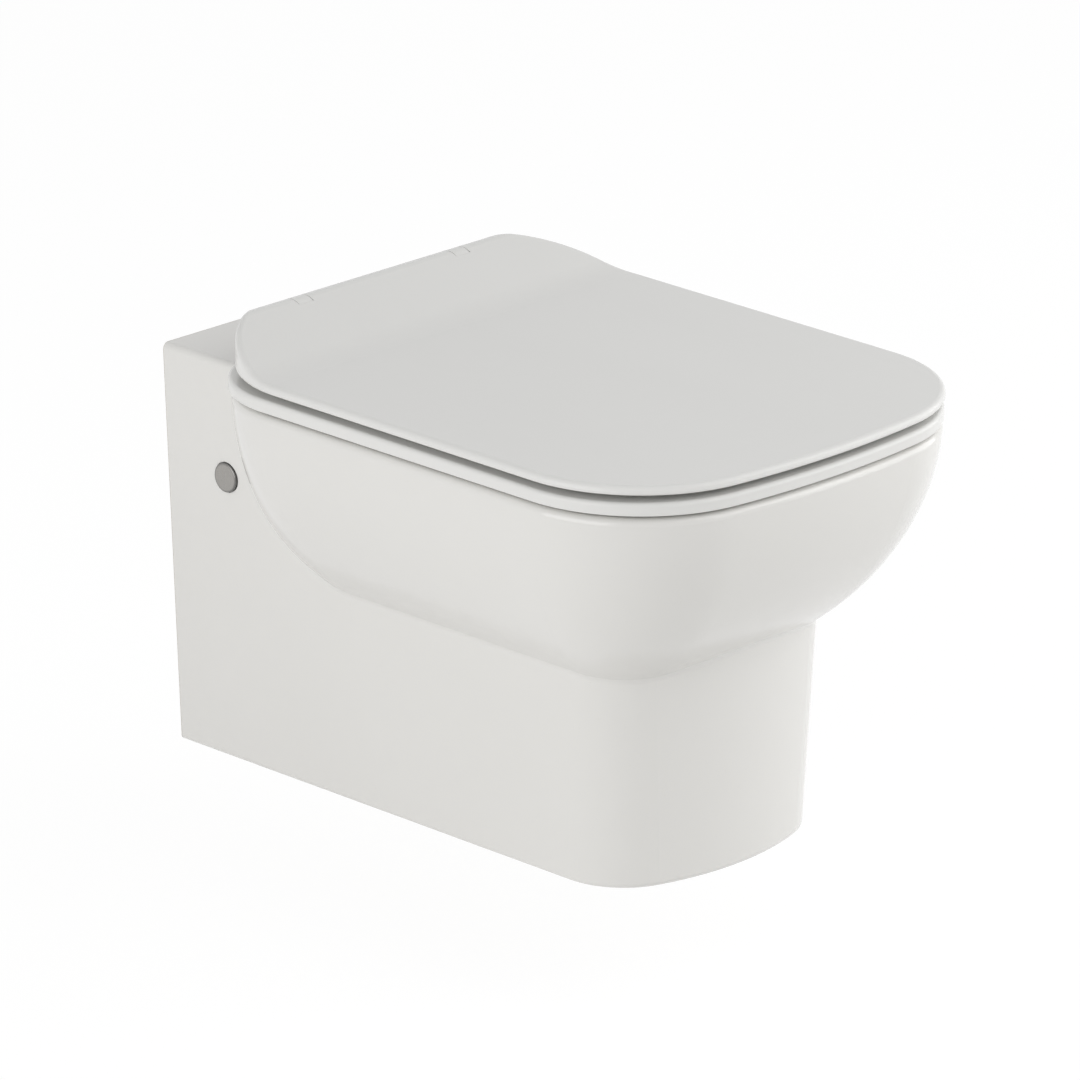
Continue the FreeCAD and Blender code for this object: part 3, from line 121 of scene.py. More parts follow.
class Bench:
    """Adds and links the nodes of one tree."""

    def __init__(self, tree: bpy.types.NodeTree) -> None:
        """Starts on a tree.

        Args:
            tree: The node tree to fill.
        """
        self.tree = tree

    def add(self, kind: str, inputs: dict[str | int, Any] | None = None, **settings: Any) -> bpy.types.Node:
        """Adds a node, sets its properties and fills or links its inputs.

        Args:
            kind: The node's type name.
            inputs: A value, or another node's output socket, for each input by name or place.
            **settings: Properties of the node.

        Returns:
            The new node.
        """
        node = self.tree.nodes.new(kind)
        for name, setting in settings.items():
            setattr(node, name, setting)
        for key, given in (inputs or {}).items():
            if isinstance(given, bpy.types.NodeSocket):
                self.tree.links.new(given, node.inputs[key])
            else:
                node.inputs[key].default_value = given
        return node

    def math(self, operation: str, first: Any, second: Any = 0.0) -> bpy.types.NodeSocket:
        """Reckons with two values.

        Args:
            operation: The Math node's operation.
            first: A value or a socket.
            second: A value or a socket.

        Returns:
            The result's socket.
        """
        return self.add("ShaderNodeMath", {0: first, 1: second}, operation=operation).outputs[0]

    def ramp(self, source: Any, low: float, high: float, to_low: float, to_high: float) -> bpy.types.NodeSocket:
        """Maps one range smoothly onto another.

        Args:
            source: The socket that is mapped.
            low: Where the first range starts.
            high: Where the first range ends.
            to_low: The result at low.
            to_high: The result at high.

        Returns:
            The result's socket.
        """
        inputs = {"Value": source, "From Min": low, "From Max": high, "To Min": to_low, "To Max": to_high}
        return self.add("ShaderNodeMapRange", inputs, interpolation_type="SMOOTHSTEP").outputs["Result"]

    def noise(self, vector: Any, waves: Waves) -> bpy.types.NodeSocket:
        """Adds a noise pattern.

        Args:
            vector: The socket of the coordinates.
            waves: The pattern.

        Returns:
            The socket of the noise, 0 to 1.
        """
        inputs = {"Vector": vector, "Scale": waves.scale, "Detail": waves.detail, "Roughness": waves.rough}
        return self.add("ShaderNodeTexNoise", inputs).outputs["Fac"]

    def stretch(self, vector: Any, scale: Point) -> bpy.types.NodeSocket:
        """Stretches coordinates.

        Args:
            vector: The socket of the coordinates.
            scale: The factor along each axis.

        Returns:
            The socket of the stretched coordinates.
        """
        return self.add("ShaderNodeMapping", {"Vector": vector, "Scale": scale}).outputs[0]

    def mix(self, share: Any, first: Any, second: Any) -> bpy.types.NodeSocket:
        """Mixes two colours.

        Args:
            share: How much of the second colour there is, a value or a socket.
            first: A colour of three numbers, or a socket.
            second: A colour of three numbers, or a socket.

        Returns:
            The mixed colour's socket.
        """
        node = self.add("ShaderNodeMix", {0: share}, data_type="RGBA")
        for place, given in ((MIX_FIRST, first), (MIX_SECOND, second)):
            if isinstance(given, bpy.types.NodeSocket):
                self.tree.links.new(given, node.inputs[place])
            else:
                node.inputs[place].default_value = (*given, 1.0)
        return node.outputs[MIX_RESULT]

    def bump(self, height: Any, depth: float, under: Any = None) -> bpy.types.NodeSocket:
        """Turns a height pattern into a surface normal.

        Args:
            height: The socket of the height, 0 to 1.
            depth: The height of 1, in metres.
            under: The normal of a coarser pattern below, if there is one.

        Returns:
            The normal's socket.
        """
        inputs = {"Height": height, "Distance": depth, "Strength": 1.0}
        if under is not None:
            inputs["Normal"] = under
        return self.add("ShaderNodeBump", inputs).outputs["Normal"]


@dataclass(frozen=True)
class Finish:
    """A surface finish that is made as one node material."""

    name: str
    colour: Colour
    second: Colour
    roughness: float

    def material(self) -> bpy.types.Material:
        """Gives the finish's material, made the first time it is asked for.

        Returns:
            The material.
        """
        found = bpy.data.materials.get(self.name)
        if found:
            return found
        made = bpy.data.materials.new(self.name)
        made.use_nodes = True
        made.diffuse_color = (*self.colour, 1.0)
        bench = Bench(made.node_tree)
        shader = made.node_tree.nodes["Principled BSDF"]
        where = bench.add("ShaderNodeTexCoord").outputs["Object"]
        self.shade(bench, shader, where)
        return made

    def shade(self, bench: Bench, shader: bpy.types.Node, where: bpy.types.NodeSocket) -> None:
        """Fills the shader's sockets. Each finish has its own way.

        Args:
            bench: The material's nodes.
            shader: The material's shader.
            where: The socket of the object's coordinates.
        """
        raise NotImplementedError

    def spread(self, bench: Bench, shader: bpy.types.Node, colour: Any, roughness: Any, normal: Any) -> None:
        """Links the three patterns that every finish has.

        Args:
            bench: The material's nodes.
            shader: The material's shader.
            colour: The colour's socket.
            roughness: The roughness's socket.
            normal: The normal's socket.
        """
        for name, socket in (("Base Color", colour), ("Roughness", roughness), ("Normal", normal)):
            bench.tree.links.new(socket, shader.inputs[name])


@dataclass(frozen=True)
class Glaze(Finish):
    """White vitreous glaze, left off the faces that touch the wall and the kiln shelf."""

    bisque: Colour = (0.66, 0.62, 0.55)
    bisque_dark: float = 0.88
    bisque_rough: float = 0.62
    bisque_edge: float = 0.0006
    bisque_full: float = 0.0002
    underside: float = -0.217
    sag: Waves = Waves(7.0, 3.0)
    sag_depth: float = 0.0006
    sheen_span: Span = (0.3, 0.7)
    sheen_gain: float = 1.5
    peel: Waves = Waves(95.0, 1.0)
    peel_depth: float = 0.00003
    speck_scale: float = 130.0
    speck_span: Span = (0.03, 0.07)
    speck_share: float = 0.10
    speck_colour: Colour = (0.45, 0.42, 0.36)
    grain: Waves = Waves(900.0, 4.0, 0.6)
    grain_depth: float = 0.0004
    refraction: float = 1.52

    def shade(self, bench: Bench, shader: bpy.types.Node, where: bpy.types.NodeSocket) -> None:
        """Lays a slightly uneven glaze with pinhead specks over the ceramic.

        Args:
            bench: The material's nodes.
            shader: The material's shader.
            where: The socket of the object's coordinates.
        """
        parts = bench.add("ShaderNodeSeparateXYZ", {0: where})
        at_wall = bench.ramp(parts.outputs["Y"], -self.bisque_edge, -self.bisque_full, 0.0, 1.0)
        at_shelf = bench.ramp(
            parts.outputs["Z"], self.underside + self.bisque_full, self.underside + self.bisque_edge, 1.0, 0.0)
        bare = bench.math("MAXIMUM", at_wall, at_shelf)
        pooling = bench.noise(where, self.sag)
        white = bench.mix(pooling, self.colour, self.second)
        specks = bench.add("ShaderNodeTexVoronoi", {"Vector": where, "Scale": self.speck_scale}).outputs["Distance"]
        speck = bench.ramp(specks, *self.speck_span, self.speck_share, 0.0)
        speckled = bench.mix(speck, white, self.speck_colour)
        grain = bench.noise(where, self.grain)
        clay = bench.mix(grain, self.bisque, tuple(self.bisque_dark * part for part in self.bisque))
        colour = bench.mix(bare, speckled, clay)
        sheen = bench.ramp(pooling, *self.sheen_span, self.roughness, self.roughness * self.sheen_gain)
        rough = bench.math("ADD", sheen, bench.math("MULTIPLY", bare, self.bisque_rough))
        sag = bench.bump(pooling, self.sag_depth)
        peel = bench.bump(bench.noise(where, self.peel), self.peel_depth, sag)
        tooth = bench.bump(bench.math("MULTIPLY", grain, bare), self.grain_depth, peel)
        shader.inputs["IOR"].default_value = self.refraction
        self.spread(bench, shader, colour, rough, tooth)


@dataclass(frozen=True)
class SeatPlastic(Finish):
    """Pressed white thermoset: polished outside, finely matt on its lower faces."""

    matt_below: float = 0.0
    matt_step: float = 0.0008
    matt_roughness: float = 0.45
    gloss: float = 0.3
    refraction: float = 1.5
    flow: Waves = Waves(14.0, 1.0)
    flow_stretch: Point = (1.0, 0.35, 1.0)
    flow_depth: float = 0.00005
    haze: Waves = Waves(45.0, 1.0)
    haze_span: Span = (0.2, 0.8)
    haze_gain: float = 1.12
    polish: Waves = Waves(160.0, 0.0)
    polish_depth: float = 0.000002
    pits: Waves = Waves(2600.0)
    pit_depth: float = 0.00012

    def shade(self, bench: Bench, shader: bpy.types.Node, where: bpy.types.NodeSocket) -> None:
        """Lays the polish, its faint flow marks and the matt lower faces.

        Args:
            bench: The material's nodes.
            shader: The material's shader.
            where: The socket of the object's coordinates.
        """
        height = bench.add("ShaderNodeSeparateXYZ", {0: where}).outputs["Z"]
        below = bench.ramp(height, self.matt_below - self.matt_step, self.matt_below + self.matt_step, 1.0, 0.0)
        flow = bench.noise(bench.stretch(where, self.flow_stretch), self.flow)
        colour = bench.mix(flow, self.colour, self.second)
        hazy = self.roughness * self.haze_gain
        haze = bench.ramp(bench.noise(where, self.haze), *self.haze_span, self.roughness, hazy)
        rough = bench.math("ADD", haze, bench.math("MULTIPLY", below, self.matt_roughness))
        wave = bench.bump(flow, self.flow_depth)
        polish = bench.bump(bench.noise(where, self.polish), self.polish_depth, wave)
        pits = bench.math("MULTIPLY", bench.noise(where, self.pits), below)
        pitted = bench.bump(pits, self.pit_depth, polish)
        shader.inputs["IOR"].default_value = self.refraction
        shader.inputs["Specular IOR Level"].default_value = self.gloss
        self.spread(bench, shader, colour, rough, pitted)


@dataclass(frozen=True)
class Chrome(Finish):
    """Satin plating with fine hairlines, and painted shade darkening the colour round the edge of the caps."""

    cloud: Waves = Waves(60.0, 3.0)
    lines: Waves = Waves(700.0, 3.0, 0.7)
    line_stretch: Point = (1.0, 1.0, 0.06)
    line_span: Span = (0.3, 0.8)
    line_gain: float = 2.0
    line_depth: float = 0.00001
    cap_out: float = 0.0605
    cap_radius: float = 0.011
    # These fields set a band of painted shade round the rim of each cap.
    rim_shade_share: float = 0.2
    rim_shade_strength: float = 0.75
    rim_shade_colour: Colour = (0.10, 0.10, 0.10)

    def shade(self, bench: Bench, shader: bpy.types.Node, where: bpy.types.NodeSocket) -> None:
        """Lays the plating.

        Args:
            bench: The material's nodes.
            shader: The material's shader.
            where: The socket of the object's coordinates.
        """
        cloud = bench.noise(where, self.cloud)
        plated = bench.mix(cloud, self.colour, self.second)
        parts = bench.add("ShaderNodeSeparateXYZ", {0: where}).outputs
        flat = bench.add("ShaderNodeCombineXYZ", {
            "Y": bench.math("ADD", parts["Y"], self.cap_out), "Z": parts["Z"]}).outputs[0]
        reach = bench.add("ShaderNodeVectorMath", {0: flat}, operation="LENGTH").outputs["Value"]
        # Painted shade: the colour darkens towards the rim of each cap, across its rounded edge.
        inner = self.cap_radius * (1.0 - self.rim_shade_share)
        rim_shade = bench.ramp(reach, inner, self.cap_radius, 0.0, self.rim_shade_strength)
        colour = bench.mix(rim_shade, plated, self.rim_shade_colour)
        lines = bench.noise(bench.stretch(where, self.line_stretch), self.lines)
        rough = bench.ramp(lines, *self.line_span, self.roughness, self.roughness * self.line_gain)
        normal = bench.bump(lines, self.line_depth)
        shader.inputs["Metallic"].default_value = 1.0
        self.spread(bench, shader, colour, rough, normal)


@dataclass(frozen=True)
class PlatedSteel(Finish):
    """Zinc plated steel with turning lines and a patchy passivation."""

    patch_scale: float = 220.0
    lines: Waves = Waves(1500.0)
    line_stretch: Point = (0.05, 1.0, 1.0)
    line_span: Span = (0.3, 0.7)
    line_gain: float = 1.5
    line_depth: float = 0.00002

    def shade(self, bench: Bench, shader: bpy.types.Node, where: bpy.types.NodeSocket) -> None:
        """Lays the zinc.

        Args:
            bench: The material's nodes.
            shader: The material's shader.
            where: The socket of the object's coordinates.
        """
        patch = bench.add("ShaderNodeTexVoronoi", {"Vector": where, "Scale": self.patch_scale}).outputs["Color"]
        tint = bench.add("ShaderNodeSeparateColor", {0: patch}).outputs[0]
        colour = bench.mix(tint, self.colour, self.second)
        lines = bench.noise(bench.stretch(where, self.line_stretch), self.lines)
        rough = bench.ramp(lines, *self.line_span, self.roughness, self.roughness * self.line_gain)
        normal = bench.bump(lines, self.line_depth)
        shader.inputs["Metallic"].default_value = 1.0
        self.spread(bench, shader, colour, rough, normal)


@dataclass(frozen=True)
class MouldedPlastic(Finish):
    """Grey moulded plastic with the fine grain of an eroded tool."""

    tint: Waves = Waves(80.0, 3.0)
    grain: Waves = Waves(2200.0)
    grain_span: Span = (0.3, 0.7)
    grain_gain: float = 1.3
    grain_depth: float = 0.00005

    def shade(self, bench: Bench, shader: bpy.types.Node, where: bpy.types.NodeSocket) -> None:
        """Lays the grain.

        Args:
            bench: The material's nodes.
            shader: The material's shader.
            where: The socket of the object's coordinates.
        """
        colour = bench.mix(bench.noise(where, self.tint), self.colour, self.second)
        grain = bench.noise(where, self.grain)
        rough = bench.ramp(grain, *self.grain_span, self.roughness, self.roughness * self.grain_gain)
        self.spread(bench, shader, colour, rough, bench.bump(grain, self.grain_depth))


@dataclass(frozen=True)
class Rubber(Finish):
    """Soft rubber with a dusty bloom and a fine moulded skin."""

    bloom: Waves = Waves(160.0, 5.0, 0.65)
    bloom_span: Span = (0.4, 0.75)
    bloom_gain: float = 1.25
    skin: Waves = Waves(1800.0, 3.0)
    skin_depth: float = 0.00008
    gloss: float = 0.35

    def shade(self, bench: Bench, shader: bpy.types.Node, where: bpy.types.NodeSocket) -> None:
        """Lays the skin and the bloom.

        Args:
            bench: The material's nodes.
            shader: The material's shader.
            where: The socket of the object's coordinates.
        """
        bloom = bench.ramp(bench.noise(where, self.bloom), *self.bloom_span, 0.0, 1.0)
        colour = bench.mix(bloom, self.colour, self.second)
        rough = bench.ramp(bloom, 0.0, 1.0, self.roughness, self.roughness * self.bloom_gain)
        skin = bench.bump(bench.noise(where, self.skin), self.skin_depth)
        shader.inputs["Specular IOR Level"].default_value = self.gloss
        self.spread(bench, shader, colour, rough, skin)


WHITE_GLAZE = Glaze("white_glaze", (0.80, 0.790, 0.765), (0.778, 0.768, 0.742), 0.09)
SEAT_WHITE = SeatPlastic("seat_white", (0.805, 0.802, 0.783), (0.790, 0.787, 0.768), 0.22, matt_below=0.0902)
LID_WHITE = SeatPlastic("lid_white", (0.805, 0.802, 0.783), (0.790, 0.787, 0.768), 0.22, matt_below=0.1070)
SATIN_CHROME = Chrome("satin_chrome", (0.38, 0.365, 0.345), (0.33, 0.32, 0.305), 0.22)
ZINC_STEEL = PlatedSteel("zinc_steel", (0.60, 0.60, 0.58), (0.48, 0.49, 0.50), 0.30)
GREY_MOULDING = MouldedPlastic("grey_moulding", (0.30, 0.30, 0.31), (0.25, 0.25, 0.26), 0.45)
BLACK_RUBBER = Rubber("black_rubber", (0.018, 0.018, 0.018), (0.055, 0.053, 0.050), 0.62)
PAD_RUBBER = Rubber("pad_rubber", (0.62, 0.62, 0.60), (0.70, 0.70, 0.68), 0.48)


class ShapeTree:
    """A Geometry Nodes tree with named sizes, whose result becomes a plain mesh."""

    def __init__(self, name: str, sizes: dict[str, float | int | Point]) -> None:
        """Opens a tree with its named inputs.

        Args:
            name: The tree's name.
            sizes: The inputs' names and values: a whole number, a number, or three numbers.
        """
        self.tree = bpy.data.node_groups.new(name, "GeometryNodeTree")
        self.bench = Bench(self.tree)
        self.amounts: dict[str, Any] = {}
        faces = self.tree.interface
        faces.new_socket("Spots", in_out="INPUT", socket_type="NodeSocketGeometry")
        for size, amount in sizes.items():
            kind = {int: "Int", float: "Float", tuple: "Vector"}[type(amount)]
            made = faces.new_socket(size, in_out="INPUT", socket_type=f"NodeSocket{kind}")
            self.amounts[made.identifier] = amount
        self.finish_id = faces.new_socket("Finish", in_out="INPUT", socket_type="NodeSocketMaterial").identifier
        faces.new_socket("Piece", in_out="OUTPUT", socket_type="NodeSocketGeometry")
        self.start = self.bench.add("NodeGroupInput")

    def size(self, name: str) -> bpy.types.NodeSocket:
        """Gives the socket of a named input.

        Args:
            name: The input's name.

        Returns:
            The socket.
        """
        return self.start.outputs[name]

    def close(self, shape: bpy.types.NodeSocket, turn: Any = (0.0, 0.0, 0.0), smooth: bool = True) -> None:
        """Puts the shape on every spot and ends the tree.

        Args:
            shape: The socket of one shape.
            turn: How each shape is turned, a value or a socket.
            smooth: Whether the faces are shaded smooth.
        """
        add = self.bench.add
        inputs = {"Points": self.size("Spots"), "Instance": shape, "Rotation": turn}
        placed = add("GeometryNodeInstanceOnPoints", inputs).outputs["Instances"]
        real = add("GeometryNodeRealizeInstances", {"Geometry": placed}).outputs["Geometry"]
        shaded = add("GeometryNodeSetShadeSmooth", {"Geometry": real, "Shade Smooth": smooth}).outputs["Geometry"]
        finished = add("GeometryNodeSetMaterial", {"Geometry": shaded, "Material": self.size("Finish")})
        add("NodeGroupOutput", {"Piece": finished.outputs["Geometry"]})

    def grow(self, name: str, spots: list[Vector], finish: Finish) -> bpy.types.Object:
        """Makes the piece as a plain mesh in the scene.

        Args:
            name: The piece's name.
            spots: Where the shapes stand.
            finish: The finish of all of them.

        Returns:
            The piece.
        """
        seed = bpy.data.meshes.new(f"{name}_spots")
        seed.from_pydata([tuple(spot) for spot in spots], [], [])
        piece = bpy.data.objects.new(name, seed)
        bpy.context.scene.collection.objects.link(piece)
        modifier = piece.modifiers.new("shape", "NODES")
        modifier.node_group = self.tree
        for identifier, amount in self.amounts.items():
            modifier[identifier] = amount
        modifier[self.finish_id] = finish.material()
        depsgraph = bpy.context.evaluated_depsgraph_get()
        grown = bpy.data.meshes.new_from_object(piece.evaluated_get(depsgraph))
        piece.modifiers.remove(modifier)
        piece.data = grown
        grown.name = name
        return piece


def pad_tree(radius: float, height: float, crown: float) -> ShapeTree:
    """Makes a tree of round rubber pads whose lower faces are crowned.

    Args:
        radius: The pads' radius.
        height: The pads' height over their spots.
        crown: How far a pad's lower edge curls up.

    Returns:
        The tree.
    """
    tree = ShapeTree("rubber_pads", {
        "Radius": radius, "Height": height, "Crown": crown, "Squareness": 5.0,
        "Edges": 48, "Rows": 3, "Rings": 7})
    add, math_of = tree.bench.add, tree.bench.math
    disc = add("GeometryNodeMeshCylinder", {
        "Vertices": tree.size("Edges"), "Side Segments": tree.size("Rows"), "Fill Segments": tree.size("Rings"),
        "Radius": tree.size("Radius"), "Depth": tree.size("Height")}).outputs["Mesh"]
    place = add("GeometryNodeInputPosition").outputs[0]
    parts = add("ShaderNodeSeparateXYZ", {0: place}).outputs
    flat = add("ShaderNodeCombineXYZ", {"X": parts["X"], "Y": parts["Y"]}).outputs[0]
    out = add("ShaderNodeVectorMath", {0: flat}, operation="LENGTH").outputs["Value"]
    share = math_of("POWER", math_of("DIVIDE", out, tree.size("Radius")), tree.size("Squareness"))
    rise = math_of("MULTIPLY", share, tree.size("Crown"))
    below = add("FunctionNodeCompare", {0: parts["Z"], 1: 0.0}, data_type="FLOAT", operation="LESS_THAN")
    raised = math_of("MULTIPLY", rise, below.outputs[0])
    lifted = math_of("ADD", raised, math_of("DIVIDE", tree.size("Height"), 2.0))
    move = add("ShaderNodeCombineXYZ", {"Z": lifted}).outputs[0]
    shaped = add("GeometryNodeSetPosition", {"Geometry": disc, "Offset": move}).outputs["Geometry"]
    tree.close(shaped)
    return tree


def thread_tree(radius: float, length: float, pitch: float, ridge: float) -> ShapeTree:
    """Makes a tree of threaded rods that stand up from their spots.

    Args:
        radius: The thread's outer radius.
        length: The rods' length.
        pitch: The rise of one turn.
        ridge: The height of the thread's ridge.

    Returns:
        The tree.
    """
    tree = ShapeTree("threaded_rods", {
        "Radius": radius, "Length": length, "Pitch": pitch, "Ridge": ridge,
        "Turn Steps": 20, "Ridge Edges": 4, "Core Edges": 32})
    add, math_of = tree.bench.add, tree.bench.math
    core_radius = math_of("SUBTRACT", tree.size("Radius"), tree.size("Ridge"))
    run = math_of("SUBTRACT", tree.size("Length"), math_of("MULTIPLY", tree.size("Ridge"), 2.0))
    coil = add("GeometryNodeCurveSpiral", {
        "Resolution": tree.size("Turn Steps"), "Rotations": math_of("DIVIDE", run, tree.size("Pitch")),
        "Start Radius": core_radius, "End Radius": core_radius, "Height": run}).outputs["Curve"]
    upright = add("GeometryNodeSetCurveNormal", {"Curve": coil}, mode="Z_UP").outputs["Curve"]
    section = add("GeometryNodeCurvePrimitiveCircle", {
        "Resolution": tree.size("Ridge Edges"), "Radius": tree.size("Ridge")})
    ridge_mesh = add("GeometryNodeCurveToMesh", {
        "Curve": upright, "Profile Curve": section.outputs["Curve"], "Fill Caps": True}).outputs["Mesh"]
    lift = add("ShaderNodeCombineXYZ", {"Z": tree.size("Ridge")}).outputs[0]
    raised = add("GeometryNodeTransform", {"Geometry": ridge_mesh, "Translation": lift}).outputs["Geometry"]
    core = add("GeometryNodeMeshCylinder", {
        "Vertices": tree.size("Core Edges"), "Radius": core_radius, "Depth": tree.size("Length")}).outputs["Mesh"]
    middle = add("ShaderNodeCombineXYZ", {"Z": math_of("DIVIDE", tree.size("Length"), 2.0)}).outputs[0]
    stood = add("GeometryNodeTransform", {"Geometry": core, "Translation": middle}).outputs["Geometry"]
    joined = add("GeometryNodeJoinGeometry")
    for part in (stood, raised):
        tree.tree.links.new(part, joined.inputs[0])
    tree.close(joined.outputs[0], smooth=False)
    return tree


def rib_tree(count: int, radius: float, rib: Point) -> ShapeTree:
    """Makes a tree of upright ribs in a ring round each spot.

    Args:
        count: How many ribs a ring has.
        radius: The ring's radius at the ribs' middles.
        rib: A rib's size outwards, sideways and upwards.

    Returns:
        The tree.
    """
    tree = ShapeTree("rib_rings", {"Count": count, "Radius": radius, "Rib": rib})
    add = tree.bench.add
    ring = add("GeometryNodeMeshCircle", {
        "Vertices": tree.size("Count"), "Radius": tree.size("Radius")}).outputs["Mesh"]
    place = add("GeometryNodeInputPosition").outputs[0]
    outwards = add("FunctionNodeAlignRotationToVector", {"Vector": place}, axis="X", pivot_axis="Z").outputs[0]
    bar = add("GeometryNodeMeshCube", {"Size": tree.size("Rib")}).outputs["Mesh"]
    ribs = add("GeometryNodeInstanceOnPoints", {
        "Points": ring, "Instance": bar, "Rotation": outwards}).outputs["Instances"]
    tree.close(ribs, smooth=False)
    return tree


def lip_tree(radius: float, bead: float) -> ShapeTree:
    """Makes a tree of round sealing lips whose axis is the pipe's, along Y.

    Args:
        radius: The radius at a lip's middle.
        bead: The radius of the lip itself.

    Returns:
        The tree.
    """
    tree = ShapeTree("sealing_lips", {"Radius": radius, "Bead": bead, "Hoop Edges": 96, "Bead Edges": 10})
    add = tree.bench.add
    hoop = add("GeometryNodeCurvePrimitiveCircle", {
        "Resolution": tree.size("Hoop Edges"), "Radius": tree.size("Radius")})
    section = add("GeometryNodeCurvePrimitiveCircle", {
        "Resolution": tree.size("Bead Edges"), "Radius": tree.size("Bead")})
    lip = add("GeometryNodeCurveToMesh", {
        "Curve": hoop.outputs["Curve"], "Profile Curve": section.outputs["Curve"]}).outputs["Mesh"]
    tree.close(lip, turn=(math.pi / 2, 0.0, 0.0))
    return tree


@dataclass
class Assembly:
    """A group of pieces that ride on one body."""

    body: Body

    def dress(self, finishes: dict[str, Finish]) -> None:
        """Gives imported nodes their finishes.

        Args:
            finishes: The finish of each node by its name.
        """
        for node, finish in finishes.items():
            slots = frame["nodes"][node].data.materials
            slots.clear()
            slots.append(finish.material())
            LOG.info("dressed %s with %s", node, finish.name)

    def seat_piece(self, piece: bpy.types.Object, slot: Slot, *nodes: str) -> None:
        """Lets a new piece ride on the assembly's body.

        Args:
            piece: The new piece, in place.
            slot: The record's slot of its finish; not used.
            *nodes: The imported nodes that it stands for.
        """
        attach(piece, self.body.value)
        if nodes:
            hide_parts(*nodes)
        LOG.info("made %s on %s", piece.name, self.body.value)


@dataclass
class Pan(Assembly):
    """The ceramic pan with its fixing to the wall and its inlet seal."""

    body: Body = Body.PAN
    lip_count: int = 3
    lip_bead: float = 0.0009
    seal_bore: float = 0.0226

    def build(self) -> None:
        """Dresses the pan and adds the seal's lips."""
        self.dress({
            "ceramic_pan": WHITE_GLAZE,
            "wall_sleeves": ZINC_STEEL,
            "side_screws": ZINC_STEEL,
            "side_bushes": GREY_MOULDING,
            "side_caps": SATIN_CHROME,
            "inlet_seal": BLACK_RUBBER,
        })
        low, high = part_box("inlet_seal")
        axis = (low + high) / 2
        step = (high.y - low.y) / (self.lip_count + 1)
        spots = [Vector((axis.x, low.y + step * (place + 1), axis.z)) for place in range(self.lip_count)]
        lips = lip_tree(self.seal_bore, self.lip_bead).grow("inlet_seal_lips", spots, BLACK_RUBBER)
        self.seat_piece(lips, Slot.RUBBER)


@dataclass
class HingeFixing(Assembly):
    """The posts, pins, bolts, plugs and nuts that hold the hinge to the deck."""

    body: Body = Body.PAN
    pitch: float = 0.001
    ridge: float = 0.00045
    rib_count: int = 14
    rib: Point = (0.0009, 0.0011, 0.0066)
    rib_lift: float = 0.0007

    def build(self) -> None:
        """Dresses the hinge fixing, threads its bolts and ribs its nuts."""
        self.dress({
            "hinge_post_right": SEAT_WHITE,
            "hinge_post_left": SEAT_WHITE,
            "hinge_pin_right": ZINC_STEEL,
            "hinge_pin_left": ZINC_STEEL,
            "hinge_gaskets": BLACK_RUBBER,
            "hinge_bolts": ZINC_STEEL,
            "hinge_expansion_plugs": BLACK_RUBBER,
            "hinge_cone_nuts": GREY_MOULDING,
        })
        low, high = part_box("hinge_bolts")
        radius = (high.y - low.y) / 2
        side, out = high.x - radius, (low.y + high.y) / 2
        spots = [Vector((sign * side, out, low.z)) for sign in SIDES]
        threads = thread_tree(radius, high.z - low.z, self.pitch, self.ridge)
        bolts = threads.grow("threaded_hinge_bolts", spots, ZINC_STEEL)
        self.seat_piece(bolts, Slot.STEEL, "hinge_bolts")
        low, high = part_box("hinge_cone_nuts")
        radius = (high.y - low.y) / 2
        height = low.z + self.rib_lift + self.rib[2] / 2
        spots = [Vector((sign * side, out, height)) for sign in SIDES]
        ribs = rib_tree(self.rib_count, radius, self.rib).grow("cone_nut_ribs", spots, GREY_MOULDING)
        self.seat_piece(ribs, Slot.FIXING_PLASTIC)


@dataclass
class Leaf(Assembly):
    """A hinged leaf, the seat or the lid, with its buffers and its two hinge bearings."""

    shell: str = ""
    finish: Finish = SEAT_WHITE
    buffers: str = ""
    bearings: tuple[str, ...] = ()
    pad_radius: float = 0.008
    front_side: float = 0.096
    crown: float = 0.0012

    def build(self) -> None:
        """Dresses the leaf and makes its soft pads."""
        self.dress({self.shell: self.finish, self.buffers: PAD_RUBBER})
        self.dress({bearing: GREY_MOULDING for bearing in self.bearings})
        low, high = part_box(self.buffers)
        front = (self.front_side, low.y + self.pad_radius)
        rear = (high.x - self.pad_radius, high.y - self.pad_radius)
        spots = [Vector((sign * side, along, low.z)) for side, along in (front, rear) for sign in SIDES]
        pads = pad_tree(self.pad_radius, high.z - low.z, self.crown).grow(f"{self.body.value}_pads", spots, PAD_RUBBER)
        self.seat_piece(pads, Slot.BUFFER_RUBBER, self.buffers)


@dataclass(frozen=True)
class Softbox:
    """A large soft lamp that faces the object."""

    name: str
    place: Point
    size: tuple[float, float]
    power: float
    aim: Point = (0.0, -0.26, -0.04)

    def build(self) -> None:
        """Puts the lamp in the scene."""
        data = bpy.data.lights.new(self.name, "AREA")
        data.shape = "RECTANGLE"
        data.size, data.size_y = self.size
        data.energy = self.power
        lamp = bpy.data.objects.new(self.name, data)
        lamp.location = self.place
        lamp.rotation_euler = (Vector(self.aim) - Vector(self.place)).to_track_quat("-Z", "Y").to_euler()
        bpy.context.scene.collection.objects.link(lamp)


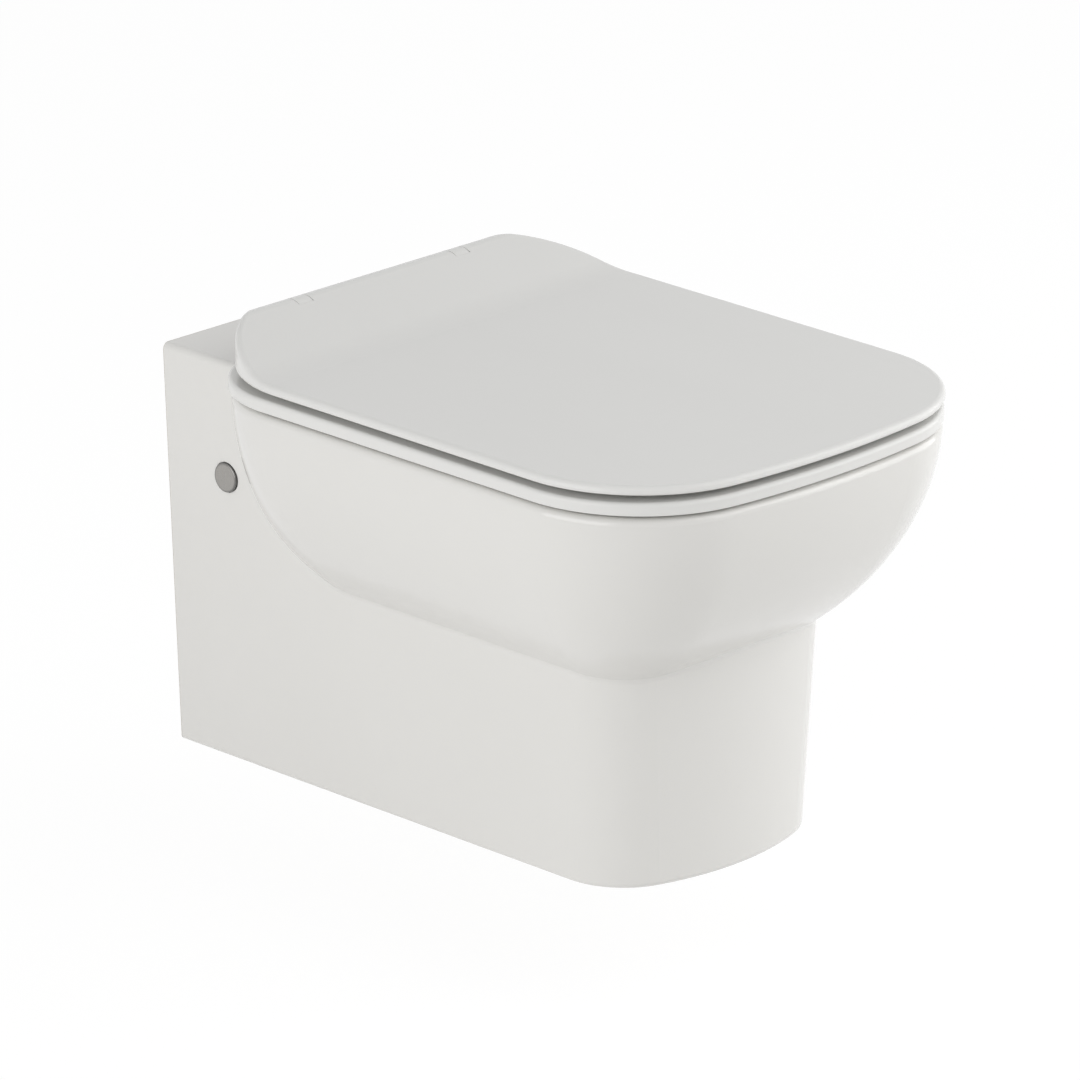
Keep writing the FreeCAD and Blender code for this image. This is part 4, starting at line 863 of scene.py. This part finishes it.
@dataclass
class Studio:
    """The pale floor, the white surroundings, the lamps and the camera."""

    floor_drop: float = 0.09
    floor_half: float = 14.0
    floor_colour: Colour = (0.90, 0.90, 0.895)
    floor_lift: float = 0.9
    floor_white: float = 1.04
    ambient: float = 0.44
    lamps: tuple[Softbox, ...] = (
        Softbox("left_softbox", (-2.51, -0.26, 0.63), (2.4, 1.7), 27.0),
        Softbox("right_softbox", (2.17, -1.52, 0.63), (2.4, 1.7), 23.0),
        Softbox("right_high_softbox", (1.00, -1.99, 1.63), (2.0, 2.0), 18.0),
    )
    azimuth: float = math.radians(-45.21)
    elevation: float = math.radians(19.83)
    distance: float = 6.492
    target: Point = (0.0, -0.260, -0.047)
    focal_pixels: float = 9233.6
    image_side: float = 1080.0
    sensor: float = 36.0
    far_clip: float = 60.0
    centre_offset: tuple[float, float] = (1.2, -28.1)

    def backdrop(
            self, bench: Bench, lit: bpy.types.NodeSocket, share: float, strength: float = 1.0,
    ) -> bpy.types.NodeSocket:
        """Shows plain white to the camera and to mirrors, and keeps a share of the lit surface.

        Args:
            bench: The nodes of the floor or the world.
            lit: The shader that lights the object.
            share: How much of what is seen is plain white.
            strength: How bright the plain white is.

        Returns:
            The mixed shader's socket.
        """
        ray = bench.add("ShaderNodeLightPath").outputs
        seen = bench.math("MAXIMUM", ray["Is Camera Ray"], ray["Is Glossy Ray"])
        seen = bench.math("MAXIMUM", seen, ray["Is Transmission Ray"])
        white = "ShaderNodeBackground" if bench.tree.nodes.get("World Output") else "ShaderNodeEmission"
        plain = bench.add(white, {"Color": (1.0, 1.0, 1.0, 1.0), "Strength": strength}).outputs[0]
        return bench.add("ShaderNodeMixShader", {0: bench.math("MULTIPLY", seen, share), 1: lit, 2: plain}).outputs[0]

    def build_world(self) -> None:
        """Makes the even light that comes from all round."""
        world = bpy.data.worlds.new("white_studio")
        bpy.context.scene.world = world
        world.use_nodes = True
        bench = Bench(world.node_tree)
        soft = world.node_tree.nodes["Background"]
        soft.inputs["Color"].default_value = (1.0, 1.0, 1.0, 1.0)
        soft.inputs["Strength"].default_value = self.ambient
        shown = self.backdrop(bench, soft.outputs[0], 1.0)
        world.node_tree.links.new(shown, world.node_tree.nodes["World Output"].inputs["Surface"])

    def build_floor(self) -> None:
        """Makes the pale floor under the wall hung pan."""
        height = CAD_BOX[0].z - self.floor_drop
        half = self.floor_half
        mesh = bpy.data.meshes.new("pale_floor")
        corners = [(-half, -half, height), (half, -half, height), (half, half, height), (-half, half, height)]
        mesh.from_pydata(corners, [], [(0, 1, 2, 3)])
        floor = bpy.data.objects.new("pale_floor", mesh)
        bpy.context.scene.collection.objects.link(floor)
        material = bpy.data.materials.new("pale_floor")
        material.use_nodes = True
        tree = material.node_tree
        bench = Bench(tree)
        tree.nodes.remove(tree.nodes["Principled BSDF"])
        lit = bench.add("ShaderNodeBsdfDiffuse", {"Color": (*self.floor_colour, 1.0)}).outputs[0]
        shown = self.backdrop(bench, lit, self.floor_lift, self.floor_white)
        tree.links.new(shown, tree.nodes["Material Output"].inputs["Surface"])
        mesh.materials.append(material)

    def build_camera(self) -> None:
        """Puts the camera where the photograph was taken from."""
        turn, rise = self.azimuth, self.elevation
        right = Vector((math.cos(turn), math.sin(turn), 0.0))
        back = Vector((math.sin(turn) * math.cos(rise), -math.cos(turn) * math.cos(rise), math.sin(rise)))
        data = bpy.data.cameras.new("camera")
        data.sensor_width = self.sensor
        data.lens = self.focal_pixels / self.image_side * self.sensor
        data.shift_x = -self.centre_offset[0] / self.image_side
        data.shift_y = -self.centre_offset[1] / self.image_side
        data.clip_end = self.far_clip
        camera = bpy.data.objects.new("camera", data)
        turned = Matrix((right, back.cross(right), back)).transposed().to_4x4()
        turned.translation = Vector(self.target) + back * self.distance
        camera.matrix_world = turned
        bpy.context.scene.collection.objects.link(camera)
        bpy.context.scene.camera = camera

    def build(self) -> None:
        """Makes the whole studio."""
        bpy.context.scene.view_settings.view_transform = "Standard"
        self.build_world()
        self.build_floor()
        for lamp in self.lamps:
            lamp.build()
        self.build_camera()
        LOG.info("studio with %d lamps", len(self.lamps))


def main() -> None:
    """Builds every assembly and the studio in order."""
    logging.basicConfig(level=logging.INFO, format="%(name)s: %(message)s")
    seat = Leaf(Body.SEAT, "seat_ring", SEAT_WHITE, "seat_buffers", ("seat_damper", "seat_bush"))
    lid = Leaf(Body.LID, "lid_shell", LID_WHITE, "lid_buffers", ("lid_damper", "lid_bush"))
    for part in (Studio(), Pan(), HingeFixing(), seat, lid):
        part.build()


if __name__ == "__main__":
    main()
